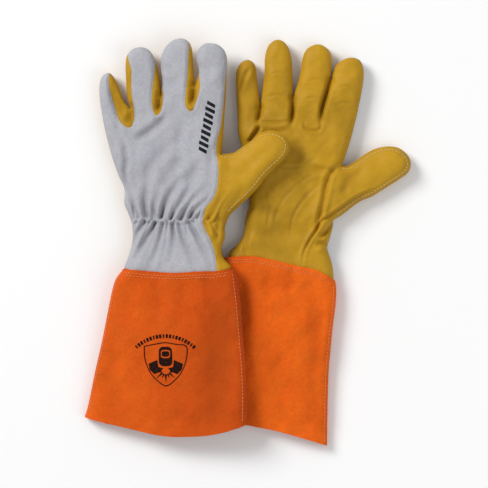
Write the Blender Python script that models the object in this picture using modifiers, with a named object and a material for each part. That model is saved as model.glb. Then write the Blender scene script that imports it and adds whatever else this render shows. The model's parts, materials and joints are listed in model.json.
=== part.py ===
"""A pair of welding gloves laid flat, as leather panels that are sewn together.

The right glove lies palm up. The left one lies back up, and its thumb and cuff rest on the right one.
Each glove is drawn in its own plan: +X towards the thumb, +Y towards the fingertips, +Z up from the table.
Every panel is a grid laid over rows of that plan, and Solidify gives it the thickness of its leather.
"""

import math

import bmesh
import bpy
from mathutils import Matrix, Vector

MM = 0.001

# Leather, seams and the clearance that moving edges keep.
HAND_LEATHER = 1.2 * MM
CUFF_LEATHER = 1.4 * MM
FOURCHETTE_LEATHER = 1.0 * MM
SEAM_GAP = 0.3 * MM
HINGE_GAP = 0.6 * MM

# The hand, from the cuff seam to the knuckles.
WRIST_TO_KNUCKLE = 99.0 * MM
SEAM_HALF_WIDTH = 46.5 * MM
WRIST_HALF_WIDTH = 40.5 * MM
PALM_HALF_WIDTH = 48.0 * MM
HAND_MIDDLE = 9.0 * MM  # height of the side seams above the table
PALM_RISE = 13.0 * MM  # from the side seams to the top of the palm
SEAM_RISE = 7.5 * MM
KNUCKLE_RISE = 9.0 * MM

# The fingers stand side by side at the knuckles, and their fourchettes run part of the way to their tips.
FINGER_NAMES = ("little", "ring", "middle", "index")
FINGER_SPACING = 2.5 * MM
FINGER_RISE = 8.5 * MM
FOURCHETTE_WIDTH = 9.0 * MM
FOURCHETTE_REACH = 0.72  # share of the finger's length
FOURCHETTE_BULGE = 0.8 * MM

# The thumb, with the welt in its seam.
THUMB_RISE = 9.0 * MM
THUMB_MARGIN = 3.5 * MM  # of the palm's straight edge past both ends of the thumb's root
THUMB_MOUTH = 7.0 * MM  # how far the palm's panels part where the thumb joins
WELT_THICKNESS = 0.9 * MM
WELT_INSIDE = 0.8 * MM
WELT_OUTSIDE = 1.5 * MM

# The cuff, which laps over the end of the hand.
CUFF_LENGTH = 132.0 * MM
CUFF_LAP = 8.0 * MM
SHOULDER_DOWN = 22.0 * MM
HEM_HALF_WIDTH = 71.0 * MM
HEM_MIDDLE = 5.0 * MM
HEM_RISE = 6.0 * MM

# The elastic inside the back of the wrist.
ELASTIC_WIDTH = 10.0 * MM
ELASTIC_THICKNESS = 1.0 * MM

# How each glove lies: places in plan, and angles anticlockwise in degrees. The palm's outer edge is given by
# how far it is from the hand's middle line beside both ends of the thumb's root. A digit has its width at the
# root and at its widest place, its length past the root, and where it points.
LEFT = {
    "name": "left",
    "top": "back",
    "wrist": Vector((-60.2, 10.5)) * MM,
    "lean": 5.1,
    "outer_edge": (42.0 * MM, 53.5 * MM),
    "knuckle_turn": 9.7,
    "cuff_top": Vector((-60.6, -23.5)) * MM,
    "cuff_top_turn": 0.0,
    "cuff_top_sag": 2.5 * MM,
    "shoulder_spread": 9.0 * MM,
    "cuff_turn": -4.6,
    "hem_turn": 0.0,
    "hem_sag": 16.0 * MM,
    "little": {"root": 22.5 * MM, "belly": 16.5 * MM, "length": 50.5 * MM, "points": 11.0},
    "ring": {"root": 23.0 * MM, "belly": 28.0 * MM, "length": 66.0 * MM, "points": 3.0},
    "middle": {"root": 27.5 * MM, "belly": 28.5 * MM, "length": 67.0 * MM, "points": -3.2},
    "index": {"root": 29.0 * MM, "belly": 27.0 * MM, "length": 59.5 * MM, "points": -3.8},
    "thumb": {"root": 52.0 * MM, "belly": 31.0 * MM, "length": 61.0 * MM, "points": -62.5},
    "thumb_up_hand": 42.0 * MM,
}
RIGHT = {
    "name": "right",
    "top": "palm",
    "wrist": Vector((34.1, 8.1)) * MM,
    "lean": -5.8,
    "outer_edge": (36.0 * MM, 46.0 * MM),
    "knuckle_turn": -1.0,
    "cuff_top": Vector((31.0, -27.4)) * MM,
    "cuff_top_turn": -18.0,
    "cuff_top_sag": -9.0 * MM,
    "shoulder_spread": 5.0 * MM,
    "cuff_turn": -12.6,
    "hem_turn": -18.0,
    "hem_sag": 0.0,
    "little": {"root": 17.5 * MM, "belly": 18.0 * MM, "length": 52.5 * MM, "points": 1.0},
    "ring": {"root": 26.5 * MM, "belly": 26.0 * MM, "length": 71.5 * MM, "points": -1.5},
    "middle": {"root": 25.0 * MM, "belly": 28.0 * MM, "length": 69.0 * MM, "points": -7.5},
    "index": {"root": 28.0 * MM, "belly": 27.5 * MM, "length": 58.5 * MM, "points": -10.5},
    "thumb": {"root": 37.0 * MM, "belly": 31.0 * MM, "length": 64.0 * MM, "points": -60.5},
    "thumb_up_hand": 44.0 * MM,
}
LAY_CLEARANCE = 0.8 * MM  # between the two gloves

# A panel's cross-section from its middle to its seam, as shares of its half-width and of its rise.
# Its edge is turned over, so that it meets the next panel standing up.
TURNED_EDGE = ((0.0, 1.0), (0.55, 1.0), (0.88, 0.85), (1.0, 0.42), (1.0, 0.0))
SKIN_COLUMNS = 2 * (len(TURNED_EDGE) - 1)

# How finely the grids follow the rows, and how the tips of the digits close.
DIGIT_ROWS = 8
HAND_ROWS = 10
CUFF_ROWS = 7
ROUNDNESS = 2.6
TIP_HALF_SHARE = 0.42  # of the digit's half-width, left at the very tip
TIP_RISE_SHARE = 0.45
SAME_PLACE = 0.01 * MM

COLOURS = {
    "white_split_leather": ((0.56, 0.56, 0.60, 1.0), 0.9),
    "gold_grain_leather": ((0.50, 0.30, 0.035, 1.0), 0.55),
    "orange_split_leather": ((0.68, 0.10, 0.012, 1.0), 0.85),
    "knitted_elastic": ((0.75, 0.74, 0.70, 1.0), 0.8),
}


def clear_scene():
    for obj in list(bpy.data.objects):
        bpy.data.objects.remove(obj)


def make_materials():
    made = {}
    for name, (colour, roughness) in COLOURS.items():
        material = bpy.data.materials.new(name)
        material.use_nodes = True
        shader = material.node_tree.nodes["Principled BSDF"]
        shader.inputs["Base Color"].default_value = colour
        shader.inputs["Roughness"].default_value = roughness
        shader.inputs["Metallic"].default_value = 0.0
        made[name] = material
    return made


def turned(degrees):
    """The unit vectors across and along something that leans this far anticlockwise."""
    angle = math.radians(degrees)
    return Vector((math.cos(angle), math.sin(angle))), Vector((-math.sin(angle), math.cos(angle)))


def eased(share):
    share = min(1.0, max(0.0, share))
    return share * share * (3.0 - 2.0 * share)


def mixed(stations, at, straight=False):
    """The values of the stations, each (place, value, ...), mixed between the two nearest places."""
    for low, high in zip(stations, stations[1:]):
        if at <= high[0]:
            share = (at - low[0]) / (high[0] - low[0])
            share = share if straight else eased(share)
            return [a + (b - a) * share for a, b in zip(low[1:], high[1:])]
    return list(stations[-1][1:])


def turned_edge(share):
    """How much of its rise a panel keeps at this share of its half-width."""
    share = min(1.0, abs(share))
    for low, high in zip(TURNED_EDGE, TURNED_EDGE[1:]):
        if share <= high[0]:
            return low[1] + (high[1] - low[1]) * (share - low[0]) / (high[0] - low[0])
    return 0.0


class Row:
    """One cross-section of a glove: its centre and direction in plan, and its upper and lower skin."""

    def __init__(self, centre, across, half, middle, rise, drop, left_edge, right_edge):
        self.centre = centre
        self.across = across
        self.half = half
        self.middle = middle
        self.rise = rise
        self.drop = drop
        self.left_edge = left_edge
        self.right_edge = right_edge

    def skin_point(self, share, kept, side):
        """A point of the upper (side 1) or lower (side -1) skin, which keeps this share of its rise."""
        edge = self.left_edge if share < 0 else self.right_edge
        reach = self.rise if side > 0 else self.drop
        plan = self.centre + self.across * (self.half * share)
        return Vector((plan.x, plan.y, self.middle + side * (edge + (reach - edge) * kept)))

    def column_point(self, column, side):
        """The skin's point in a column of the grid, counted from the middle and negative to the left."""
        share, kept = TURNED_EDGE[abs(column)]
        return self.skin_point(math.copysign(share, column), kept, side)

    def top_point(self, share):
        return self.skin_point(share, turned_edge(share), 1)

    def side_point(self, hand, height, bulge):
        """A point of the side wall, hand -1 left or 1 right, height -1 to 1 of its seams' distance."""
        edge = self.left_edge if hand < 0 else self.right_edge
        out = self.half + bulge * (1.0 - height * height)
        plan = self.centre + self.across * (out * hand)
        return Vector((plan.x, plan.y, self.middle + height * (edge - SEAM_GAP)))


def placed_grid(name, columns, rows, place, flipped, wall, offset, material):
    """A solid panel: a grid primitive whose points go where place(column, row) says, column 0 in the middle."""
    mesh = bpy.data.meshes.new(name)
    shape = bmesh.new()
    bmesh.ops.create_grid(shape, x_segments=columns, y_segments=rows - 1, size=1.0)
    for vert in shape.verts:
        row = round((vert.co.y + 1.0) / 2.0 * (rows - 1))
        vert.co = place(round(vert.co.x * columns / 2.0), row)
    bmesh.ops.remove_doubles(shape, verts=shape.verts, dist=SAME_PLACE)
    if flipped:
        bmesh.ops.reverse_faces(shape, faces=shape.faces)
    shape.to_mesh(mesh)
    shape.free()
    mesh.shade_smooth()
    mesh.materials.append(material)
    panel = bpy.data.objects.new(name, mesh)
    parts.objects.link(panel)
    leather = panel.modifiers.new("Leather", "SOLIDIFY")
    leather.thickness = wall
    leather.offset = offset
    leather.use_even_offset = True
    return panel


def skin(name, rows, side, wall, material):
    """The upper or lower panel over the rows, with its outer face on them."""
    def place(column, row):
        return rows[row].column_point(column, side)
    return placed_grid(name, SKIN_COLUMNS, len(rows), place, side < 0, wall, -1.0, material)


def fourchette(name, rows, hand, material):
    """The strip that joins a finger's two panels along one side."""
    def place(column, row):
        return rows[row].side_point(hand, column * hand, FOURCHETTE_BULGE)
    return placed_grid(name, 2, len(rows), place, True, FOURCHETTE_LEATHER, -1.0, material)


def knuckle_half_width(glove):
    """The hand's half-width where the fingers stand side by side."""
    widths = sum(glove[finger]["root"] for finger in FINGER_NAMES)
    return (widths + FINGER_SPACING * (len(FINGER_NAMES) - 1)) / 2.0


def up_hand(glove, distance):
    """A point on the hand's middle line, this far from the wrist."""
    return glove["wrist"] + turned(glove["lean"])[1] * distance


def beside_thumb(glove, share):
    """The palm's centre in plan and its half-width beside the thumb's root, share 0 at its lower end."""
    reach = (glove["thumb"]["root"] / 2.0 + THUMB_MARGIN) * (2.0 * share - 1.0)
    low, high = glove["outer_edge"]
    outer = low + (high - low) * share
    middle = up_hand(glove, glove["thumb_up_hand"] + reach)
    return middle + turned(glove["lean"])[0] * (PALM_HALF_WIDTH - outer) / 2.0, (PALM_HALF_WIDTH + outer) / 2.0


def hand_rows(glove):
    """Rows from inside the cuff to the knuckles. The right edge stands open where the thumb joins."""
    lap = CUFF_LEATHER + SEAM_GAP
    closed = SEAM_GAP
    lean, top_turn, knuckle_turn = glove["lean"], glove["cuff_top_turn"], glove["knuckle_turn"]
    end = glove["cuff_top"] - turned(top_turn)[1] * CUFF_LAP
    out_of_lap = glove["cuff_top"] + turned(top_turn)[1] * 2.0 * lap
    knuckle = up_hand(glove, WRIST_TO_KNUCKLE) - turned(knuckle_turn)[1] * HINGE_GAP
    # row, centre x, centre y, half-width, turn, rise, drop, how far the right edge is open
    stations = [
        (0, *end, SEAM_HALF_WIDTH, top_turn, SEAM_RISE, HAND_MIDDLE - lap, 0.0),
        (1, *out_of_lap, SEAM_HALF_WIDTH, top_turn, SEAM_RISE, HAND_MIDDLE - lap, 0.0),
        (3, *glove["wrist"], WRIST_HALF_WIDTH, lean, SEAM_RISE + lap, HAND_MIDDLE - lap, 0.0),
    ]
    for row, share, mouth in ((4, 0.0, 0.0), (5, 0.2, 1.0), (6, 0.8, 1.0), (7, 1.0, 0.0)):
        centre, half = beside_thumb(glove, share)
        stations.append((row, *centre, half, lean, PALM_RISE, HAND_MIDDLE, mouth))
    stations.append((HAND_ROWS - 1, *knuckle, knuckle_half_width(glove), knuckle_turn,
                     KNUCKLE_RISE, HAND_MIDDLE, 0.0))
    rows = []
    for number in range(HAND_ROWS):
        x, y, half, turn, rise, drop, mouth = mixed(stations, number)
        rows.append(Row(Vector((x, y)), turned(turn)[0], half, HAND_MIDDLE, rise, drop,
                        closed, closed + THUMB_MOUTH * mouth))
    return rows


def digit_rows(glove, name, root, root_turn, rise, drop, left_edge, right_edge, closed_edge):
    """Rows of a finger or thumb from its hinge line. The last two stand at the tip, one above the other."""
    digit = glove[name]
    length, root_half, belly_half = digit["length"], digit["root"] / 2.0, digit["belly"] / 2.0
    across_root = turned(root_turn)[0]
    across_tip, along = turned(digit["points"])
    rows = []
    for number in range(DIGIT_ROWS):
        share = 1.0 - (1.0 - min(1.0, number / (DIGIT_ROWS - 2))) ** 1.7
        at = HINGE_GAP + (length - HINGE_GAP) * share
        half = root_half + (belly_half - root_half) * eased(at / (0.6 * length))
        rounding = min(1.0, max(0.0, (at - (length - belly_half)) / belly_half)) ** ROUNDNESS
        narrow = 1.0 - (1.0 - TIP_HALF_SHARE) * rounding
        kept = 1.0 - (1.0 - TIP_RISE_SHARE) * rounding
        if number == DIGIT_ROWS - 1:
            kept = 0.0
        still_open = 1.0 - eased((at / length - 0.45) / (FOURCHETTE_REACH - 0.45))
        edges = [closed_edge + (edge - closed_edge) * still_open for edge in (left_edge, right_edge)]
        across = across_root.lerp(across_tip, eased(at / (0.4 * length))).normalized()
        rows.append(Row(root + along * at, across, half * narrow, HAND_MIDDLE,
                        closed_edge + (rise - closed_edge) * kept, closed_edge + (drop - closed_edge) * kept,
                        *edges))
    return rows


def finger_root(glove, name):
    before = FINGER_NAMES[: FINGER_NAMES.index(name)]
    left = sum(glove[finger]["root"] + FINGER_SPACING for finger in before) - knuckle_half_width(glove)
    across = turned(glove["knuckle_turn"])[0]
    return up_hand(glove, WRIST_TO_KNUCKLE) + across * (left + glove[name]["root"] / 2.0)


def finger_rows(glove, name):
    closed, open_edge = SEAM_GAP, FOURCHETTE_WIDTH / 2.0 + SEAM_GAP
    return digit_rows(
        glove, name, finger_root(glove, name), glove["knuckle_turn"], FINGER_RISE, HAND_MIDDLE,
        closed if name == FINGER_NAMES[0] else open_edge,
        closed if name == FINGER_NAMES[-1] else open_edge,
        closed,
    )


def thumb_root(glove):
    return up_hand(glove, glove["thumb_up_hand"]) + turned(glove["lean"])[0] * (PALM_HALF_WIDTH + HINGE_GAP)


def thumb_rows(glove):
    """The thumb's rows: its first one lies along the open edge of the palm."""
    seam = WELT_THICKNESS / 2.0 + 2.0 * SEAM_GAP
    return digit_rows(glove, "thumb", thumb_root(glove), glove["lean"] - 90.0, THUMB_RISE, HAND_MIDDLE,
                      seam, seam, seam)


def cuff_rows(glove):
    """Rows from the lap over the hand down to the open hem."""
    lap = CUFF_LEATHER + SEAM_GAP
    closed = SEAM_GAP
    top, top_turn, sag = glove["cuff_top"], glove["cuff_top_turn"], glove["cuff_top_sag"]
    end = top - turned(top_turn)[1] * (CUFF_LAP + 2.0 * lap)
    down = -turned(glove["cuff_turn"])[1]
    half, rise = SEAM_HALF_WIDTH + lap, SEAM_RISE + lap
    shoulder_half = half + glove["shoulder_spread"]
    # row, centre x, centre y, turn, half-width, middle, rise, how far down the middle of the row hangs
    stations = [
        (0, *top, top_turn, half, HAND_MIDDLE, rise, sag),
        (1, *end, top_turn, half, HAND_MIDDLE, rise, sag),
        (2, *(top + down * SHOULDER_DOWN), top_turn, shoulder_half, HAND_MIDDLE, rise, sag),
        (CUFF_ROWS - 1, *(top + down * CUFF_LENGTH), glove["hem_turn"], HEM_HALF_WIDTH,
         HEM_MIDDLE, HEM_RISE, glove["hem_sag"]),
    ]
    rows = []
    for number in range(CUFF_ROWS):
        x, y, turn, half, middle, rise, sag = mixed(stations, number, straight=True)
        across, along = turned(turn)
        row = Row(Vector((x, y)), across, half, middle, rise, middle, closed, closed)
        row.sag = -along * sag
        rows.append(row)
    return rows


def cuff_skin(name, rows, side, material):
    def place(column, row):
        share = TURNED_EDGE[abs(column)][0]
        sag = rows[row].sag * (1.0 - share * share)
        return rows[row].column_point(column, side) + Vector((sag.x, sag.y, 0.0))
    # Rows run from the hand to the hem, so the grid faces the other way round.
    return placed_grid(name, SKIN_COLUMNS, len(rows), place, side > 0, CUFF_LEATHER, -1.0, material)


def elastic(name, rows, side, material):
    """The elastic band, just inside the back panel across the narrowest part of the wrist."""
    wrist = min(rows, key=lambda row: row.half)
    along = Vector((-wrist.across.y, wrist.across.x))
    inset = Vector((0.0, 0.0, -side * (HAND_LEATHER + 2.0 * SEAM_GAP)))
    def place(column, row):
        shift = along * ELASTIC_WIDTH * (row - 0.5)
        return wrist.column_point(column, side) + inset + Vector((shift.x, shift.y, 0.0))
    return placed_grid(name, SKIN_COLUMNS - 4, 2, place, side < 0, ELASTIC_THICKNESS, -1.0, material)


def welt(name, rows, material):
    """The strip of leather in the thumb's seam, which stands out past both panels."""
    rows = rows[:-1]
    outline = [(row, -1) for row in rows] + [(row, 1) for row in reversed(rows)]
    def place(column, number):
        row, hand = outline[number]
        reach = (WELT_OUTSIDE + WELT_INSIDE) * (column + 1) / 2.0 - WELT_INSIDE
        beside = row.half * hand
        if row is rows[-1]:
            plan = row.centre + row.across * beside + Vector((-row.across.y, row.across.x)) * reach
        else:
            plan = row.centre + row.across * (beside + reach * hand)
        return Vector((plan.x, plan.y, row.middle))
    return placed_grid(name, 2, len(outline), place, True, WELT_THICKNESS, 0.0, material)


def hinge(name, place, across, height, glove_empty):
    """The empty on a digit's hinge line, its X along the axis that lifts the digit."""
    knuckle = bpy.data.objects.new(name, None)
    parts.objects.link(knuckle)
    side = Vector((across.x, across.y, 0.0)).normalized()
    up = Vector((0.0, 0.0, 1.0))
    turn = Matrix((side, up.cross(side), up)).transposed().to_4x4()
    knuckle.matrix_world = Matrix.Translation((place.x, place.y, height)) @ turn
    knuckle.parent = glove_empty
    return knuckle


def hang(children, parent, frame):
    for child in children:
        child.parent = parent
        child.matrix_parent_inverse = frame.inverted()


def make_digit(glove, name, panels, place, across, rise, frame):
    """Hangs a digit's panels from its hinge line, which runs over the top of its root."""
    knuckle = hinge(glove["name"] + "_" + name + "_knuckle", place, across, HAND_MIDDLE + rise + HINGE_GAP, frame)
    hang(panels, knuckle, knuckle.matrix_world)
    return knuckle


def make_glove(glove, stuff):
    """All panels of one glove, in its own plan, under one empty. It returns the empty."""
    white, gold, orange, band = (stuff[name] for name in COLOURS)
    back = 1 if glove["top"] == "back" else -1
    name = glove["name"] + "_"
    frame = bpy.data.objects.new(name + "glove", None)
    parts.objects.link(frame)

    hand, cuff = hand_rows(glove), cuff_rows(glove)
    fixed = [
        skin(name + "hand_back", hand, back, HAND_LEATHER, white),
        skin(name + "hand_palm", hand, -back, HAND_LEATHER, gold),
        cuff_skin(name + "cuff_back", cuff, back, orange),
        cuff_skin(name + "cuff_palm", cuff, -back, orange),
        elastic(name + "wrist_elastic", hand, back, band),
    ]
    hang(fixed, frame, Matrix.Identity(4))

    for finger in FINGER_NAMES:
        rows = finger_rows(glove, finger)
        panels = [
            skin(name + finger + "_back", rows, back, HAND_LEATHER, white),
            skin(name + finger + "_front", rows, -back, HAND_LEATHER, gold),
        ]
        strip = [row for row in rows if max(row.left_edge, row.right_edge) > FOURCHETTE_WIDTH / 6.0]
        if finger != FINGER_NAMES[0]:
            panels.append(fourchette(name + finger + "_outer_fourchette", strip, -1, gold))
        if finger != FINGER_NAMES[-1]:
            panels.append(fourchette(name + finger + "_inner_fourchette", strip, 1, gold))
        across = turned(glove[finger]["points"])[0]
        make_digit(glove, finger, panels, finger_root(glove, finger), across, FINGER_RISE, frame)

    rows = thumb_rows(glove)
    panels = [
        skin(name + "thumb_back", rows, back, HAND_LEATHER, gold),
        skin(name + "thumb_front", rows, -back, HAND_LEATHER, gold),
        welt(name + "thumb_welt", rows, gold),
    ]
    along_palm = -turned(glove["lean"])[1]
    return frame, make_digit(glove, "thumb", panels, thumb_root(glove), along_palm, THUMB_RISE, frame)


def right_edge_at(rows, y):
    """How far right the rows reach at this place in plan."""
    reach = sorted((row.centre + row.across * row.half for row in rows), key=lambda point: point.y)
    for low, high in zip(reach, reach[1:]):
        if low.y <= y <= high.y:
            return low.x + (high.x - low.x) * (y - low.y) / (high.y - low.y)
    return -math.inf


def top_points(rows):
    return [row.top_point(share / 10.0) for row in rows for share in range(-10, 11)]


def lay_left_on_right(left_frame, left_thumb):
    """Tilts the left glove until its cuff clears the right cuff, then pitches its thumb clear of the palm."""
    left_cuff = cuff_rows(LEFT)
    edge = min((row.centre - row.across * row.half).x for row in left_cuff)
    over_cuff = [point for point in top_points(cuff_rows(RIGHT))
                 if edge < point.x < right_edge_at(left_cuff, point.y) + HAND_MIDDLE]
    under = [row.column_point(column, -1) for row in left_cuff for column in range(-4, 5)]
    tilt, sunk = 0.0, 0.0
    for _ in range(12):
        tilt = max(math.atan((point.z + LAY_CLEARANCE + sunk) / (point.x - edge)) for point in over_cuff)
        swing = Matrix.Rotation(-tilt, 3, "Y")
        sunk = min((swing @ (point - Vector((edge, 0.0, 0.0)))).z for point in under)
    left_frame.matrix_world = (Matrix.Translation((edge, 0.0, -sunk)) @ swing.to_4x4()
                               @ Matrix.Translation((-edge, 0.0, 0.0)))

    root, across = thumb_root(LEFT), turned(LEFT["lean"])[0]
    along = turned(LEFT["thumb"]["points"])[1]
    pitch = 0.0
    for point in top_points(hand_rows(RIGHT)):
        beyond = Vector((point.x, point.y)) - root
        ahead, beside = beyond.dot(along), abs(beyond.cross(along))
        if 0.2 * LEFT["thumb"]["length"] < ahead < LEFT["thumb"]["length"] and beside < LEFT["thumb"]["belly"] / 2.0:
            table = math.tan(tilt) * (point.x - edge) - sunk
            pitch = max(pitch, math.atan((point.z + LAY_CLEARANCE - table) / beyond.dot(across)))
    left_thumb.matrix_basis = left_thumb.matrix_basis @ Matrix.Rotation(pitch, 4, "X")


def centre_pair(glove_frames):
    """Moves both gloves so that the middle of their footprint is the origin."""
    bpy.context.view_layer.update()
    depsgraph = bpy.context.evaluated_depsgraph_get()
    points = [panel.matrix_world @ vertex.co for panel in parts.objects if panel.type == "MESH"
              for vertex in panel.evaluated_get(depsgraph).data.vertices]
    low = Vector((min(point.x for point in points), min(point.y for point in points), 0.0))
    high = Vector((max(point.x for point in points), max(point.y for point in points), 0.0))
    for frame in glove_frames:
        frame.matrix_world = Matrix.Translation((low + high) / -2.0) @ frame.matrix_world


clear_scene()
parts = bpy.data.collections.new("welding_gloves")
bpy.context.scene.collection.children.link(parts)
materials = make_materials()
right_glove, _ = make_glove(RIGHT, materials)
left_glove, left_thumb_knuckle = make_glove(LEFT, materials)
lay_left_on_right(left_glove, left_thumb_knuckle)
centre_pair((left_glove, right_glove))
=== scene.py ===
"""The looks of a pair of welding gloves, built around their packed leather panels.

Each glove is drawn in its own plan, in millimetres: the origin is on the table under the hinge of the middle
finger, +X points towards the thumb, +Y towards the fingertips and +Z up from the table. The frame's hinges
place both plans, and the left one is tilted, because that glove lies on the right one.
A glove is two sheets of leather, upper and lower, that meet along its outline. The sheets are filled with
triangles, raised, folded and gathered, and then cut along their seams into the panels of the frame.
"""

import json
import math

import bpy
import numpy as np
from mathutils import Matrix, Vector
from mathutils.geometry import delaunay_2d_cdt


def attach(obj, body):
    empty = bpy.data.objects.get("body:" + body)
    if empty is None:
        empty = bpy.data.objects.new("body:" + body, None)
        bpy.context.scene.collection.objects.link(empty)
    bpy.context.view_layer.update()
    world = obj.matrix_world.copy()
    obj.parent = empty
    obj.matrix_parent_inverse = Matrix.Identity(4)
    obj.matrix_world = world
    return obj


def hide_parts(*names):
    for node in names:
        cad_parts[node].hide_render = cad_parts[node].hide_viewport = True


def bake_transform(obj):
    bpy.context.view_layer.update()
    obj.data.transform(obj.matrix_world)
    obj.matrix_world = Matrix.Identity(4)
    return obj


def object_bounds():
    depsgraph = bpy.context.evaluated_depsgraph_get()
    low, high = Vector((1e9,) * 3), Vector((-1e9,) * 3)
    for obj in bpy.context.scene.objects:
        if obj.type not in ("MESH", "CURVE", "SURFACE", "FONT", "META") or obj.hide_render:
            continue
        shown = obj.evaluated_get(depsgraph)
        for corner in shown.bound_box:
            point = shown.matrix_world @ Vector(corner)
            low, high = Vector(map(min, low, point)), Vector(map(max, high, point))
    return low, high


bl_info = {
    "name": "Welding gloves",
    "version": (1, 0, 0),
    "blender": (4, 5, 0),
    "location": "3D View > Sidebar > Gloves",
    "description": "Leather, seams, stitches and prints of a pair of welding gloves",
    "category": "Object",
}

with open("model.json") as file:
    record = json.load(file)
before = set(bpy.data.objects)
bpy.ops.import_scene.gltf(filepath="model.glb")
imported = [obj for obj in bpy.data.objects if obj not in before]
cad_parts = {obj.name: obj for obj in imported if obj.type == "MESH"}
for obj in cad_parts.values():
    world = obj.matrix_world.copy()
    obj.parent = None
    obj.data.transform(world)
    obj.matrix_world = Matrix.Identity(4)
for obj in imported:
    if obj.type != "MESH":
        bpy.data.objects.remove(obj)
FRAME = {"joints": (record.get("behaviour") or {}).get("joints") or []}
CAD_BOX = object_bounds()
MM = 0.001
GLOVES = []
FINISHES = {}

# Half a finger's width at its root (for the thumb, how far its outer side reaches), and how far before and
# past its hinge a digit's bend would reach; the bend is worked out but not applied. The last three say where
# the thumb's leather starts in the hand.
DIGITS = ("little", "ring", "middle", "index", "thumb")
DIGIT_HALF = {"little": 9.5, "ring": 13.5, "middle": 13.5, "index": 13.5, "thumb": 60.0}
DIGIT_CUT = {"little": 10.0, "ring": 10.0, "middle": 10.0, "index": 10.0, "thumb": 6.0}
DIGIT_BEND = {"little": 10.0, "ring": 10.0, "middle": 10.0, "index": 10.0, "thumb": 12.0}
THUMB_INNER_REACH = 30.0
THUMB_ROOT_SLOPE = 0.8
THUMB_ROOT_EDGE = 16.0

# The outline of each glove's hand, from the outer side of the wrist round the digits to its inner side.
# Each stroke is a smooth curve, and strokes meet at the crotches. The cuff has its own four strokes.
LEFT_HAND = (
    ((-45.5, -140), (-46.5, -132), (-43, -123), (-39.5, -110), (-39.5, -95.5), (-43, -85), (-46.5, -76),
     (-46.5, -63), (-52, -50.5), (-59, -30), (-65.5, -3.5), (-69, 21), (-67.5, 34.5), (-61.5, 39.5),
     (-57, 36.5), (-52.5, 28), (-49.5, 19), (-46, 12.5), (-41, 7.5)),
    ((-41, 7.5), (-44, 18.5), (-45, 32), (-45.5, 47.5), (-43.5, 56), (-38.5, 60.5), (-32.5, 62),
     (-26.5, 60.5), (-22, 56), (-18.5, 47.5), (-15.5, 34.5), (-14, 18.5)),
    ((-14, 18.5), (-12.5, 30.5), (-14, 43.5), (-13.5, 53), (-10, 61.5), (-3.5, 67.5), (4, 69.5), (10, 67),
     (13.5, 60.5), (14.5, 47.5), (15.5, 34.5), (16, 28)),
    ((16, 28), (19, 34.5), (20, 42), (17.5, 52), (20, 60), (25, 64.5), (31, 65), (37, 63.5), (42.5, 58.5),
     (45, 50), (44.5, 35.5), (44, 22), (42.5, 0.5), (41.5, -15), (40, -32.5)),
    ((40, -32.5), (46.5, -33), (52.5, -31.5), (59, -27), (66.5, -22), (73, -16), (79.5, -13.5), (86, -13),
     (93, -15), (98, -18.5), (100.5, -24.5), (99.5, -31), (95, -37.5), (88.5, -43.5), (79.5, -52),
     (72, -61.5), (63.5, -70.5), (55, -78), (47, -87), (43, -96.5), (43, -105), (40, -115), (41.5, -123.5),
     (48.5, -131.5), (48.5, -140)),
)
LEFT_CUFF = {
    "top": ((-48.5, -135), (-45, -133.5), (-33, -135), (-12, -136.5), (4, -137), (19.5, -136), (35.5, -135.5),
            (50.5, -133)),
    "inner": ((50.5, -133), (53.5, -138), (55, -149.5), (57, -167.5), (59, -193.5), (61, -219.5), (62, -246),
              (61.5, -270.5)),
    "hem": ((61.5, -270.5), (53.5, -274), (39.5, -278), (24, -280.5), (2.5, -281.5), (-13, -280.5),
            (-29, -277.5), (-50, -272.5), (-71.5, -267.5), (-83, -264.5)),
    "outer": ((-83, -264.5), (-79.5, -253), (-73.5, -225), (-67, -197.5), (-60.5, -166), (-57.5, -152),
              (-54, -142), (-48.5, -135)),
}
RIGHT_HAND = (
    ((-69.5, -127), (-69.5, -115.5), (-63, -108.5), (-58, -102.5), (-56, -95.5), (-55, -87), (-53.5, -80),
     (-51.5, -73.5), (-52, -64), (-54, -49), (-55.5, -34.5), (-58, -21.5), (-61, -10), (-61.5, 5.5),
     (-62.5, 22), (-63, 41.5), (-60.5, 50.5), (-55, 55), (-50, 54.5), (-46, 50), (-44.5, 39), (-42.5, 21),
     (-41.5, 13)),
    ((-41.5, 13), (-40, 26.5), (-38, 43), (-37.5, 57), (-35.5, 65.5), (-32, 70.5), (-27, 73), (-22, 72),
     (-18, 68), (-15, 61), (-13.5, 51.5), (-13, 35), (-13, 22)),
    ((-13, 22), (-9.5, 32), (-6.5, 43), (-4.5, 55.5), (-1.5, 63.5), (3.5, 67.5), (10, 69), (16, 66.5),
     (20.5, 61.5), (21.5, 54.5), (21, 46.5), (20.5, 37)),
    ((20.5, 37), (23, 44.5), (25, 50), (30, 54.5), (36, 57), (42, 57), (47, 54), (49.5, 47), (49.5, 37),
     (47, 22), (43.5, 5.5), (39, -12.5), (34.5, -27), (30.5, -38)),
    ((30.5, -38), (36, -38.5), (42.5, -35), (51.5, -28.5), (60, -24), (69.5, -22), (78, -22.5), (84, -25.5),
     (89, -31), (90.5, -37.5), (88, -44), (80, -50), (67.5, -58), (57, -64.5), (45.5, -69.5), (34, -78),
     (23, -86.5)),
    ((23, -86.5), (22, -94), (19.5, -103), (17.5, -110.5), (19.5, -117.5), (22, -126), (23, -134.5),
     (23, -147)),
)
RIGHT_CUFF = {
    "top": ((-75.5, -119.5), (-65.5, -118.5), (-50.5, -118), (-39, -119.5), (-21.5, -123.5), (-7.5, -127),
            (6.5, -130), (15.5, -134.5), (24.5, -139.5)),
    "inner": ((24.5, -139.5), (25.5, -146.5), (25, -160.5), (22.5, -180), (20.5, -201), (19, -218.5),
              (18, -247.5), (17.5, -285.5)),
    "hem": ((17.5, -285.5), (-2, -279.5), (-27, -272.5), (-54, -267), (-86, -258.5), (-119, -250)),
    "outer": ((-119, -250), (-106.5, -213.5), (-94, -177), (-83.5, -142.5), (-75.5, -119.5)),
}

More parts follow.
